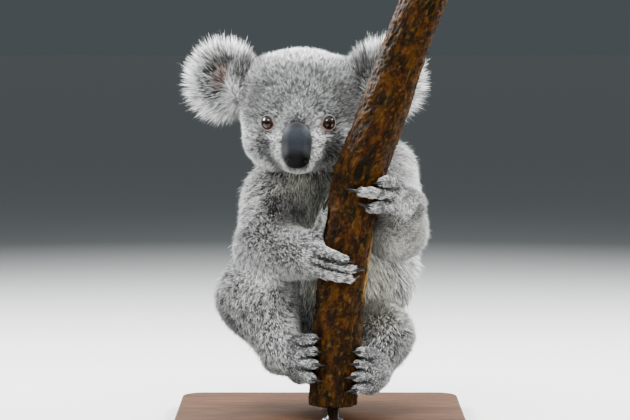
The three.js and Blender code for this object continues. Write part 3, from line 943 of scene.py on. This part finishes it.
def lid_ring(sign):
    """The eyelids, from under their rim over the eyeball out to the skin, as points, faces and tints."""
    axes = HEAD_AXES @ turn_z(sign * math.radians(20)) @ turn_x(math.radians(-4))
    turns = circle(LID_POINTS)
    corner = np.cos((turns - (math.pi if sign > 0 else 0)))      # 1 towards the nose
    wide, tall = math.radians(43), math.radians(50)
    opening = 1 / np.sqrt((np.cos(turns) / wide) ** 2 + (np.sin(turns) / tall) ** 2)
    opening = opening * (1 - 0.22 * np.clip(0.75 * corner + 0.75 * np.sin(turns), 0, 1) ** 3)
    opening = opening + math.radians(8) * np.clip(corner * 0.9 - 0.35 * np.sin(turns), 0, 1) ** 8
    lower = ease(0.6, -0.4, np.sin(turns))[:, None]
    points, tints = [], []
    for wider, share, proud, low_tone, high_tone in LIDS:
        angle = mix(opening + math.radians(wider), LID_END, share)
        local = on_sphere(angle, turns) * (EYE["radius"] + proud)
        points.append(eye_centre(sign) + local @ axes.T)
        tints.append(mix(high_tone, low_tone, lower))
    return np.concatenate(points), lattice(len(LIDS), LID_POINTS), np.concatenate(tints)


def gaze_axes(sign):
    """The eye's own frame: x across, -y out along the gaze, z up."""
    return HEAD_AXES @ turn_z(sign * math.radians(10)) @ turn_x(math.radians(-3))


def make_skin():
    weights, _ = part_weights(skin_points)
    # The skin's tint is the coat's markings darkened to 0.4: painted shade deep under the coat.
    tints = [markings(skin_points, weights) * 0.4]
    points, faces, start = [skin_points], [skin_quads], len(skin_points)
    for sign in SIDES.values():
        ring_points, ring_faces, ring_tints = lid_ring(sign)
        points.append(ring_points)
        faces.append(ring_faces + start)
        tints.append(ring_tints)
        start += len(ring_points)
    skin = make_mesh("skin", np.concatenate(points), faces, skin_material(), np.concatenate(tints))
    limbs = [f"{part}_{side}" for part in ("ear", "upper_arm", "forearm", "thigh", "shin") for side in SIDES]
    keep(skin, "coat", "head", "neck", "trunk", *limbs, *PAWS)


make_skin()

# ---- coat --------------------------------------------------------------------------------------

# For each kind of part: bent tufts and straight tufts in each square millimetre, width, length as a
# multiple of the coat's depth, and least length.
COAT = {
    "head": (0.22, 1.36, 0.80, 1.15, 4.2),
    "ear": (0.52, 0.60, 0.62, 1.25, 8.0),
    "trunk": (0.20, 0.60, 1.3, 1.35, 7.0),
    "upper_arm": (0.32, 1.15, 0.8, 1.25, 6.0),
    "forearm": (0.36, 1.35, 0.75, 1.25, 5.0),
    "thigh": (0.30, 1.05, 0.9, 1.25, 6.0),
    "shin": (0.32, 1.05, 0.8, 1.25, 5.0),
    "hand": (0.60, 0.90, 0.6, 2.8, 6.0),
    "foot": (0.36, 0.80, 0.75, 2.4, 5.5),
}
BENT, STRAIGHT, WIDTH, LEAN, LEAST = range(5)
LOCK = {BENT: 8, STRAIGHT: 12}  # tufts that lean together
GUARD_SHARE = 0.12              # how many tufts are long guard hairs

# The joints that the hairs of a limb point along.
ALONG = {
    "upper_arm": ("shoulder", "elbow"), "forearm": ("elbow", "wrist"), "hand": ("elbow", "wrist"),
    "thigh": ("hip", "knee"), "shin": ("knee", "ankle"), "foot": ("knee", "ankle"),
}


def kind_of(part):
    return part.removesuffix("_right").removesuffix("_left")


def blended(weights, index):
    """A column of the coat table, shared out by how much a point is of each part."""
    return sum(weights[part] * COAT[kind_of(part)][index] for part in PARTS)


def sow(column):
    """Roots of tufts, spread over the skin by the density that its parts ask for."""
    corners = skin_points[skin_quads]
    centres = corners.mean(axis=1)
    first = np.cross(corners[:, 1] - corners[:, 0], corners[:, 2] - corners[:, 0])
    second = np.cross(corners[:, 2] - corners[:, 0], corners[:, 3] - corners[:, 0])
    area = (np.linalg.norm(first, axis=1) + np.linalg.norm(second, axis=1)) / 2
    weights, _ = part_weights(centres)
    wanted = blended(weights, column) * area
    if column == STRAIGHT:
        wanted *= 1 + 0.6 * ease(10, -20, to_head(centres)[:, 1]) * weights["head"]
    counts = np.floor(wanted + random.random(len(wanted))).astype(int)
    chosen = np.repeat(np.arange(len(counts)), counts)
    share = random.random((len(chosen), 2, 1))
    low = mix(corners[chosen, 0], corners[chosen, 1], share[:, 0])
    high = mix(corners[chosen, 3], corners[chosen, 2], share[:, 0])
    return mix(low, high, share[:, 1])


def lay_of_coat(points, normals, weights):
    """The way the hairs point: along the skin, but for the ears, whose hairs point straight out."""
    total = np.zeros_like(points)
    fans = np.zeros_like(points)
    local = to_head(points)
    for part in PARTS:
        kind, side = kind_of(part), part.rsplit("_", 1)[-1]
        if kind == "head":
            way = unit(local - np.array((0, -78, -30))) @ HEAD_AXES.T
        elif kind == "ear":
            place = to_ear(points, side)
            flat = place * (1, 0, 1)
            fan = unit(flat - np.array((-26.0 * SIDES[side], 0, -24.0))) + 0.7 * unit(flat)
            way = unit(fan) @ (HEAD_AXES @ ear_axes(side)[0]).T
            fans += way * weights[part][:, None]
        elif kind == "trunk":
            way = np.broadcast_to((0.0, 0.0, -1.0), points.shape)
        else:
            start, end = (np.array(JOINTS[side][name][0], float) for name in ALONG[kind])
            way = unit(end - start) + np.array((0, 0, -0.45 if kind in ("thigh", "upper_arm") else -0.15))
            if kind in ("hand", "foot"):
                turn = np.sign(end[0] - table(BRANCH_LINE, end[2]))
                beside = points[:, 0] - table(BRANCH_LINE, points[:, 2])
                around = np.stack([points[:, 1] - BRANCH_Y, -beside, np.zeros(len(points))], axis=1)
                way = unit(around) * turn
            way = np.broadcast_to(way, points.shape)
        total += way * weights[part][:, None]
    swirl = np.stack([noise(points, 11, seed) - 0.5 for seed in (11, 12, 13)], axis=1)
    head = weights["head"][:, None] + ear_share(weights)
    swirl *= mix(0.38, 0.65, head) - 0.24 * sum(weights[name] for name in PAWS)[:, None]
    stray = random.normal(0, 0.22, points.shape)
    total = unit(total) + 0.7 * swirl + stray
    for sign in SIDES.values():
        away = points - eye_centre(sign)
        total += 0.9 * unit(away) * (1 - ease(9, 17, length_of(away)))
    return unit(total - normals * dot(total, normals)), fans + 0.25 * stray


def grow(column):
    """All tufts of one kind, as a dictionary of arrays with a row for each."""
    roots = sow(column)
    normals = normals_at(roots)
    weights, nearest = part_weights(roots)
    depth = np.maximum(-outline.sample(outline.value, roots), 1.0)[:, None]
    lay, fans = lay_of_coat(roots, normals, weights)
    local = to_head(roots)
    length = np.maximum(depth * blended(weights, LEAN)[:, None], blended(weights, LEAST)[:, None])
    length *= random.uniform(0.75, 1.15, length.shape)
    width = blended(weights, WIDTH)[:, None] * random.uniform(0.75, 1.2, length.shape)
    muzzle = np.clip(weights["head"][:, None] * ease(-35, -75, local[:, 1:2]), 0, 1)
    length = mix(length, 3.2, 0.8 * muzzle)
    width = mix(width, 0.75, muzzle)
    eye_gap = np.min([length_of(roots - eye_centre(sign)) for sign in SIDES.values()], axis=0)
    length = mix(3.6, length, ease(10, 18, eye_gap))
    guard = random.random(depth.shape) < GUARD_SHARE
    longer = np.where(guard, 1.4 + 0.5 * weights["head"][:, None] * (1 - muzzle), 1)
    height = depth * random.uniform(0.7, 1.05, depth.shape) * longer
    length = length * np.where(guard, 1.25, 1)
    rise = np.clip(height / length, 0.12, 0.9)
    forward = np.sqrt(1 - rise * rise)
    middle = roots + length * (normals * rise * 0.68 + lay * forward * 0.42)
    tips = roots + length * (normals * rise + lay * forward)
    reach = sum(weights[f"ear_{side}"] * ear_reach(roots, side) for side in SIDES)[:, None]
    beside = 1 - 0.6 * ease(-74, -52, -np.abs(local[:, :1]))
    ear_length = (8 + 7 * ease(0.7, 1.0, reach)) * beside * random.uniform(0.5, 1.42, length.shape)
    ear_length *= np.where(guard, 1.3, 1)
    ear_way = unit(fans + normals * 0.32)
    near_ear = ease(0.35, 0.65, ear_share(weights))
    middle = mix(middle, roots + ear_length * 0.5 * unit(fans + normals * 0.5), near_ear)
    tips = mix(tips, roots + ear_length * ear_way, near_ear)
    colour = markings(roots, weights)
    for name in PAWS:
        tips = mix(tips, mix(roots, tips, 0.4), (weights[name] * crease(roots, name))[:, None])
    middle, tips = clump(roots, middle, tips, LOCK[column])
    tips = clear_of_branch(tips)
    middle = clear_of_branch(middle)
    keepers = branch_distance(roots) > 0.2
    keepers &= (eye_gap > EYE["radius"] + 0.4)[:, 0]
    keepers &= nose_field(roots) > 0.2
    rows = {"root": roots, "middle": middle, "tip": tips, "normal": normals, "width": width,
            "colour": colour, "nearest": nearest[:, None]}
    return {name: values[keepers] for name, values in rows.items()}


def clump(roots, middle, tips, lock):
    """Tufts lean together in locks of so many tufts."""
    guides = random.choice(len(roots), len(roots) // lock, replace=False)
    tree = KDTree(len(guides))
    for number, guide in enumerate(guides):
        tree.insert(roots[guide], number)
    tree.balance()
    own = guides[np.array([tree.find(root)[1] for root in roots])]
    pull = random.uniform(0.0, 0.24, (len(roots), 1))
    gathered = tips[own] + (roots - roots[own]) * 0.45
    halfway = middle[own] + (roots - roots[own]) * 0.75
    return mix(middle, halfway, pull * 0.6), mix(tips, gathered, pull)


def clear_of_branch(points):
    """Points inside the branch, moved straight out to just beyond its bark."""
    gap = 1.6 - branch_distance(points)
    height = points[:, 2]
    middle = np.stack([table(BRANCH_LINE, height), np.full(len(points), BRANCH_Y), height], axis=1)
    return points + unit(points - middle) * np.maximum(gap, 0)[:, None]


NOSE = [
    ((0, -83, -25), (15.4, 12, 17)), ((0, -84, -34), (15.2, 14, 17)),
    ((-4.5, -87.5, -46.5), (10, 14.5, 12.5)), ((4.5, -87.5, -46.5), (10, 14.5, 12.5)),
]
NOSE_JOIN = 8
NOSE_LOW, NOSE_HIGH, NOSE_STEP = (-20, -108, -64), (20, -64, -5), 0.75


def nose_field(points):
    local = to_head(points)
    total = np.full(len(points), FAR)
    for centre, radii in NOSE:
        total = smooth_low(total, ellipsoid(centre, radii)(local), NOSE_JOIN)
    return total


def unwrap(points):
    """Places on a map of a piece: the angle round its own upright middle line and the height on it."""
    middle = points.mean(axis=0)
    offset = points - middle
    spread = offset.T @ offset
    _, axes = np.linalg.eigh(spread)
    local = offset @ axes
    angle = np.arctan2(local[:, 0], local[:, 1]) / (2 * math.pi) + 0.5
    height = local[:, 2]
    height = (height - height.min()) / max(np.ptp(height), 1e-6)
    return 0.01 + 0.98 * np.stack([angle, height], axis=1)


TUFT_SIDES = np.radians((90.0, 210.0, 330.0))
TUFT_PATCH = 0.003
ROOT_DEPTH = 1.2                # how deep a tuft's base is sunk in the skin


def fleck(colour, roots):
    """The coat's colour with pepper and salt in clusters of a few tufts, softer on white fur."""
    count = len(colour)
    pepper = ease(0.38, 0.60, noise(roots, 1.5, 41))[:, None]
    tone = mix(0.12, 2.25, pepper) * np.exp(random.normal(0, 0.5, (count, 1)))
    mean = colour.mean(axis=1, keepdims=True)
    cream = ease(0.06, 0.16, (colour[:, :1] - colour[:, 2:]) / mean)
    contrast = (1 - 0.55 * ease(0.16, 0.62, mean)) * (1 - 0.5 * cream)
    return colour * tone ** contrast


def spikes(tufts, bent):
    """Three-sided spikes with their base sunk in the skin: points, faces, shading, tints and map places."""
    root, middle, tip = tufts["root"], tufts["middle"], tufts["tip"]
    normal, width = tufts["normal"], tufts["width"]
    colour = fleck(tufts["colour"], root)
    count = len(root)
    whole = unit(tip - root)
    # The last number of each stage darkens the tuft: to a quarter at its base and three quarters at its
    # bend, painted shade deep in the fur.
    stages = [(root - normal * ROOT_DEPTH, 0.32 if bent else 0.5, 0.25)]
    if bent:
        stages.append((middle, 0.5, 0.75))
    side = unit(np.cross(whole, normal))
    up = unit(np.cross(side, whole))
    points, shading, tints, spread = [], [], [], []
    for row, (place, share, tone) in enumerate(stages):
        for column, turn in enumerate(TUFT_SIDES):
            out = side * math.cos(turn) + up * math.sin(turn) * 0.7
            points.append(place + out * width * share)
            shading.append(unit(0.6 * normal + 0.4 * out))
            tints.append(colour * tone)
            spread.append((column - 1, row / len(stages) * 2 - 1))
    points.append(tip)
    shading.append(unit(0.7 * normal + 0.3 * whole))
    # The tip is lighter and paler: partly the hairs' own pale tips, partly a painted glow of light through
    # the hair.
    tints.append(mix(colour * 1.15, PALE_COAT, 0.15))
    spread.append((0, 1))
    sides = []
    for turn in range(3):
        after = (turn + 1) % 3
        if bent:
            sides += [(after, turn, 3 + after), (3 + after, turn, 3 + turn), (3 + after, 3 + turn, 6)]
        else:
            sides.append((after, turn, 3))
    faces = np.array(sides)[None] + len(points) * np.arange(count)[:, None, None]
    patch = np.array(spread) * TUFT_PATCH / 2
    corners, shading, tints = (np.stack(rows, axis=1).reshape(-1, 3) for rows in (points, shading, tints))
    patches = np.tile(patch, (count, 1))
    return corners, faces.reshape(-1, 3), shading, np.clip(tints, 0, 0.95), patches, len(points)


def weave(name, kinds, material):
    """One coat piece out of bent and straight tufts."""
    roots = np.concatenate([tufts["root"] for tufts in kinds])
    places = unwrap(roots)
    parts, begun, first = [], 0, 0
    for tufts, bent in zip(kinds, (True, False)):
        points, faces, shading, tints, patch, size = spikes(tufts, bent)
        last = first + len(tufts["root"])
        spots = np.repeat(places[first:last], size, axis=0) + patch
        parts.append((points, faces + begun, shading, tints, spots))
        begun += len(points)
        first = last
    points, faces, shading, tints, spots = (np.concatenate(rows) for rows in zip(*parts))
    piece = make_mesh(name, points, [faces], material, tints, shading)
    layer = piece.data.uv_layers.new(name="OFBake")
    layer.uv.foreach_set("vector", spots[faces.ravel()].astype(np.float32).ravel())
    return keep(piece, "coat")


def piece_names(tufts):
    """The coat piece that each tuft belongs to."""
    root, nearest = tufts["root"], tufts["nearest"][:, 0]
    names = np.array([f"coat_{part}" for part in PARTS], dtype=object)[nearest]
    local = to_head(root)
    side = np.where(local[:, 0] < 0, "right", "left")
    face = np.where(local[:, 1] < -22, "face", "crown")
    in_head = names == "coat_head"
    names[in_head] = [f"coat_{a}_{b}" for a, b in zip(face[in_head], side[in_head])]
    in_trunk = names == "coat_trunk"
    quarter = np.where(root[:, 1] < 10, "front", "back")
    half = np.where(root[:, 0] < 6, "right", "left")
    names[in_trunk] = [f"coat_trunk_{a}_{b}" for a, b in zip(quarter[in_trunk], half[in_trunk])]
    names[in_trunk & (root[:, 2] > 281)] = "coat_neck"
    return names


def make_coat():
    kinds = [grow(BENT), grow(STRAIGHT)]
    names = [piece_names(tufts) for tufts in kinds]
    material = coat_material()
    for name in sorted(set(names[0])):
        chosen = []
        for tufts, own in zip(kinds, names):
            chosen.append({key: values[own == name] for key, values in tufts.items()})
        weave(name, chosen, material)


make_coat()

# ---- eyes, nose and claws ------------------------------------------------------------------------


def make_eye(side, sign):
    """An eyeball with a raised front, a dark upright pupil and a brown iris."""
    rings, around = 64, 72
    angle = np.linspace(0.004, math.pi - 0.004, rings)[:, None]
    local = on_sphere(angle, circle(around)[None])
    reach = EYE["radius"] + 0.55 * (1 - ease(0.25, 0.75, np.broadcast_to(angle, local.shape[:2])))[..., None]
    local_points = (local * reach).reshape(-1, 3)
    flat = local.reshape(-1, 3)
    from_axis = np.hypot(flat[:, 0], flat[:, 2])[:, None]
    front = flat[:, 1:2] < 0
    pupil = 1 - ease(0.8, 1.1, np.hypot(flat[:, :1] / 0.17, flat[:, 2:3] / 0.42))
    iris = mix(np.array((0.022, 0.007, 0.004)), np.array((0.040, 0.013, 0.007)), ease(0.2, 0.5, from_axis))
    iris = mix(iris, np.array((0.010, 0.004, 0.003)), ease(0.55, 0.75, from_axis))
    tints = np.where(front, mix(iris, np.array((0.004, 0.003, 0.003)), pupil), 0.02)
    points = eye_centre(sign) + local_points @ gaze_axes(sign).T
    piece = make_mesh(f"eyeball_{side}", points, [lattice(rings, around)], eye_material(), tints)
    keep(piece, "eye", f"eye_{side}")


def make_nose():
    """The nose pad, with its two nostrils, as a fine surface of its own."""
    grid = Grid(NOSE_LOW, NOSE_HIGH, NOSE_STEP)
    for centre, radii in NOSE:
        low, high = np.subtract(centre, radii), np.add(centre, radii)
        grid.fold(Swelling("nose", ellipsoid(centre, radii), low, high, NOSE_JOIN))
    for sign in SIDES.values():
        for start, end, radius in (
            ((sign * 7.0, -102, -53), (sign * 10.5, -99, -50), 2.2),
            ((sign * 10.5, -99, -50), (sign * 13.5, -93, -52), 1.3),
        ):
            hole = round_cone(start, end, radius, radius * 0.8)
            low, high = np.minimum(start, end) - 4, np.maximum(start, end) + 4
            grid.fold(Swelling("nose", hole, low, high, 1.6), carve=True)
    points, quads = surface_net(grid)
    height = points[:, 2:3]
    # The upper pad is bluish grey, a painted reflection of the sky; the lower pad is near black.
    sky_reflection = ease(-48, -24, height)
    tints = mix(np.array((0.006, 0.005, 0.005)), np.array((0.045, 0.052, 0.066)), sky_reflection)
    # The top edge and the sides are darkened: painted shade where the pad meets the fur.
    rim = np.maximum(ease(-17, -11, height), 0.75 * ease(10, 15, np.abs(points[:, :1])))
    tints = mix(tints, np.array((0.006, 0.006, 0.007)), rim)
    # Painted shade darkens the nostrils and the pad round them.
    for sign in SIDES.values():
        near = np.linalg.norm(points - np.array((sign * 9.5, -99, -51)), axis=1)[:, None]
        tints = mix(tints, np.array((0.002, 0.002, 0.002)), 1 - ease(3, 6.5, near))
    piece = make_mesh("nose_pad", from_head(points), [quads], nose_material(), tints)
    keep(piece, "nose", "nose")


def claw_path(start, end, radii, claw, rise):
    """Four points down a claw, from inside its digit to the bark."""
    sense = np.sign(end[0] - start[0]) / (table(BRANCH_GIRTH, end[1]) * math.pi / 180)
    upright = np.sign(end[1] - start[1]) if abs(end[1] - start[1]) > 20 else 0

    def place(length, clearance, lift):
        angle = end[0] + sense * length * (0.15 if upright else 1)
        return branch_point(angle, end[1] + lift + upright * length, clearance)

    tip = radii[1]
    return np.array([place(-claw * 0.45, tip * 0.85, 0), place(claw * 0.25, tip * 1.05, rise * 0.2),
                     place(claw * 0.75, tip * 0.8, rise * 0.6), place(claw * 1.15, 1.4, rise)])


def smooth_path(points, count):
    """A smooth curve through points, at even shares of their number."""
    padded = np.concatenate([2 * points[:1] - points[1:2], points, 2 * points[-1:] - points[-2:-1]])
    place = np.linspace(0, len(points) - 1 - 1e-6, count)
    cell = place.astype(int)
    share = (place - cell)[:, None]
    before, one, two, after = (padded[cell + step] for step in range(4))
    return 0.5 * (2 * one + (two - before) * share + (2 * before - 5 * one + 4 * two - after) * share ** 2
                  + (3 * one - before - 3 * two + after) * share ** 3)


CLAW_RINGS, CLAW_SIDES = 16, 14


def make_claws():
    material = claw_material()
    for paw, shape in PAWS.items():
        for digit, (start, end, radii, claw, rise) in shape["digits"].items():
            if claw:
                path = smooth_path(claw_path(start, end, radii, claw, rise), CLAW_RINGS)
                share = np.linspace(0, 1, CLAW_RINGS)
                points, faces = bar(path, radii[1] * 0.46 * (1 - share) ** 0.7 + 0.22, CLAW_SIDES)
                piece = make_mesh(f"nail_{paw}_{digit}", points, faces, material)
                keep(piece, "claw", f"claw_{paw}_{digit}")


for side, sign in SIDES.items():
    make_eye(side, sign)
make_nose()
make_claws()

# ---- branch and stand ----------------------------------------------------------------------------

BROWN_BARK = np.array((0.032, 0.013, 0.0016))
ORANGE_BARK = np.array((0.125, 0.048, 0.005))
OLIVE_BARK = np.array((0.020, 0.014, 0.0025))
DARK_BARK = np.array((0.006, 0.0035, 0.0015))
PALE_BARK = np.array((0.20, 0.12, 0.035))
RED_BARK = np.array((0.040, 0.011, 0.0040))
FLAKE_EDGE = 0.56


def smooth_line(height):
    return np.mean([table(BRANCH_LINE, height + shift) for shift in (-16, -8, 0, 8, 16)], axis=0)


def make_branch():
    around, rings = 168, 350
    turn = circle(around)[None]
    height = np.linspace(BRANCH_BOTTOM, BRANCH_TOP, rings)[:, None]
    unrolled = np.stack(np.broadcast_arrays(27 * np.sin(turn), -27 * np.cos(turn), height * 0.6), axis=-1)
    ridge = 0.9 * (np.sin(3 * turn + height / 40) + np.sin(height / 23 - turn))
    plates = noise(unrolled, 6, 21)
    flakes = noise(unrolled * (1, 1, 1.8), 3.0, 22)
    scar = bark_scar(np.degrees(turn), height)
    grain = noise(unrolled, 1.5, 23)
    lift = 0.9 * ease(0.44, 0.56, plates) + 0.8 * ease(0.5, FLAKE_EDGE, flakes) + 0.6 * grain - 1.4
    lift = lift - 1.6 * (1 - ease(0.5, 0.95, scar)) + 1.3 * np.exp(-((scar - 1.15) / 0.16) ** 2)
    lift = lift + 4.0 * (1 - ease(0, 1, np.hypot((np.degrees(turn) - 280) / 9, (height - 303) / 5)))
    reach = table(BRANCH_GIRTH, height) + ridge + lift
    x = smooth_line(height) + reach * np.sin(turn)
    y = BRANCH_Y - reach * np.cos(turn)
    points = np.stack(np.broadcast_arrays(x, y, height), axis=-1).reshape(-1, 3)
    flat, depth = unrolled.reshape(-1, 3), plates.reshape(-1)
    edges = np.abs(flakes.reshape(-1) - FLAKE_EDGE)
    inside, beside = (np.broadcast_to(values, (rings, around)).reshape(-1) for values in (scar, turn))
    tone = BROWN_BARK
    for colour, strength, share in (
        (OLIVE_BARK, 1, ease(0.45, 0.62, noise(flat, 15, 32))),
        (RED_BARK, 0.6, ease(0.5, 0.66, noise(flat, 8, 33))),
        # Orange at the flakes' edges: partly the bark's own colour, partly a painted highlight where the
        # edges catch light.
        (ORANGE_BARK, 0.85, 1 - ease(0.015, 0.07, edges)),
        (ORANGE_BARK, 0.5, ease(0.52, 0.66, noise(flat, 5, 31))),
        # Darker in the low places between the bark's plates: painted shade in the hollows.
        (DARK_BARK, 0.7, 1 - ease(0.28, 0.46, depth)),
        (PALE_BARK, 0.4, ease(0.74, 0.84, noise(flat, 2.5, 34))),
        (OLIVE_BARK * 0.5, 1, 1 - ease(0.7, 1.0, inside)),
        (PALE_BARK * 2.2, 1, pale_strip(beside, points[:, 2])),
    ):
        tone = mix(tone, colour, strength * share[:, None])
    ends = np.array([(smooth_line(end), BRANCH_Y, end) for end in (BRANCH_BOTTOM, BRANCH_TOP)])
    tones = np.concatenate([tone, np.repeat(PALE_BARK[None] * 0.8, 2, axis=0)])
    corners = np.concatenate([points, ends])
    piece = make_mesh("bark_branch", corners, tube(rings, around), bark_material(), tones * 0.8)
    keep(piece, "bark", "branch")


def bark_scar(angle, height):
    """0 in the middle of the oval scar on the front of the branch and 1 at its edge."""
    away = (angle + 8 + 180) % 360 - 180
    return np.hypot(away / 12, (height - 297) / 12)


def pale_strip(turn, height):
    """How much of the bark has peeled to the pale wood, in a strip down the lower right edge."""
    angle = np.degrees((turn + math.pi) % (2 * math.pi) - math.pi)
    middle = 78 + 10 * np.sin(height / 31)
    along = ease(150, 170, height) * (1 - ease(235, 250, height))
    return along * (1 - ease(7, 13, np.abs(angle - middle)))


def make_base():
    """A board with round corners and its edges eased, worked out in metres."""
    low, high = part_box("stand_base")
    width, depth, top = high[0] - low[0], high[1] - low[1], high[2]
    corner, bevel, corner_steps = 0.026, 0.0025, 12
    plan = []
    for quarter in range(4):
        middle_x = (width / 2 - corner) * (1 if quarter in (0, 3) else -1)
        middle_y = (depth / 2 - corner) * (1 if quarter in (0, 1) else -1)
        for step in range(corner_steps + 1):
            angle = math.pi / 2 * (quarter + step / corner_steps)
            plan.append((middle_x, middle_y, math.cos(angle), math.sin(angle)))
    profile = ((0, bevel), (0, bevel * 0.4), (bevel * 0.4, 0), (top - bevel, 0),
               (top - bevel * 0.3, bevel * 0.3), (top, bevel))
    points = []
    for height, inset in profile:
        reach = corner - inset
        points += [(x + reach * across, y + reach * along, height) for x, y, across, along in plan]
    ring = np.arange(len(plan))[None]
    faces = [lattice(len(profile), len(plan)), ring[:, ::-1], (len(profile) - 1) * len(plan) + ring]
    base = make_mesh("stand_board", np.array(points) / MM, faces, wood_material())
    keep(base, "stand_wood", "stand_base")


COLLAR = ((-0.4, 5), (3.0, 5), (3.6, 4.3), (3.7, 0))     # height over the rod's foot, and how much wider
ROD_SIDES = 48


def make_rod(node, material):
    """An upright rod with a low collar at its foot."""
    low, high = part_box(node)
    x, y = (low[0] + high[0]) / 2 / MM, (low[1] + high[1]) / 2 / MM
    radius = (high[0] - low[0]) / 2 / MM
    profile = [(low[2] / MM + rise, radius + wider) for rise, wider in COLLAR] + [(high[2] / MM, radius)]
    path = np.array([(x, y, height) for height, _ in profile])
    points, faces = bar(path, [reach for _, reach in profile], ROD_SIDES)
    keep(make_mesh(f"{node}_fine", points, faces, material), "stand_steel", node)


make_branch()
make_base()
steel = steel_material()
make_rod("stand_rod_body", steel)
make_rod("stand_rod_branch", steel)

# ---- stage -------------------------------------------------------------------------------------


FLOOR_RADIUS, FLOOR_SIDES = 40000.0, 64
# FLOOR_NEAR and FLOOR_FAR paint a pool of light on the floor round the model.
FLOOR_NEAR, FLOOR_FAR = (0.46, 0.46, 0.45), (0.055, 0.058, 0.056)
AIM = (0, 0, 0.28)

# Lights: place in metres, width and power.
LIGHTS = {
    "key": ((-0.45, -1.5, 2.3), 1.2, 56),
    "fill": ((1.2, -2.2, 0.8), 1.4, 44),
    "rim_left": ((1.3, 0.9, 1.3), 0.8, 85),
    "rim_right": ((-1.3, 0.9, 1.2), 0.8, 80),
    "top": ((0.0, 0.4, 2.2), 0.9, 50),
}


def make_floor():
    """A wide round floor, pale round the model and darker far away: a painted pool of light round the model.
    """
    shader = Shader("stage", Roughness=0.9)
    away = shader.node("ShaderNodeVectorMath", {0: shader.place()}, operation="LENGTH").outputs["Value"]
    spread = shader.node("ShaderNodeMapRange", {"Value": away, "From Min": 0.5, "From Max": 2.6})
    share = spread.outputs["Result"]
    material = shader.feed(Base_Color=shader.ramp(share, (0.0, FLOOR_NEAR), (1.0, FLOOR_FAR)))
    turns = circle(FLOOR_SIDES)
    points = np.stack([np.cos(turns) * FLOOR_RADIUS, np.sin(turns) * FLOOR_RADIUS, 0 * turns], axis=1)
    make_mesh("floor", points, [np.arange(FLOOR_SIDES)[None]], material)


def make_light(name, place, size, power):
    data = bpy.data.lights.new(name, "AREA")
    data.shape = "DISK"
    data.size = size
    data.energy = power
    light = bpy.data.objects.new(name, data)
    scene.collection.objects.link(light)
    light.location = place
    light.visible_glossy = name != "fill"
    light.rotation_euler = (Vector(AIM) - Vector(place)).to_track_quat("-Z", "Y").to_euler()


make_floor()
for name, row in LIGHTS.items():
    make_light(name, *row)

LOW_SKY, HIGH_SKY = (0.080, 0.092, 0.098, 1), (0.80, 0.87, 0.92, 1)
world = bpy.data.worlds.new("world")
world.use_nodes = True
nodes, links = world.node_tree.nodes, world.node_tree.links
direction = nodes.new("ShaderNodeTexCoord")
parts = nodes.new("ShaderNodeSeparateXYZ")
sky = nodes.new("ShaderNodeValToRGB")
links.new(direction.outputs["Generated"], parts.inputs["Vector"])
links.new(parts.outputs["Z"], sky.inputs["Fac"])
links.new(sky.outputs["Color"], nodes["Background"].inputs["Color"])
for element, position, colour in zip(sky.color_ramp.elements, (0.12, 0.5), (LOW_SKY, HIGH_SKY)):
    element.position = position
    element.color = colour
nodes["Background"].inputs["Strength"].default_value = 1.0
scene.world = world

# ---- the view's look -------------------------------------------------------------------------------

scene.view_settings.look = "AgX - Medium High Contrast"
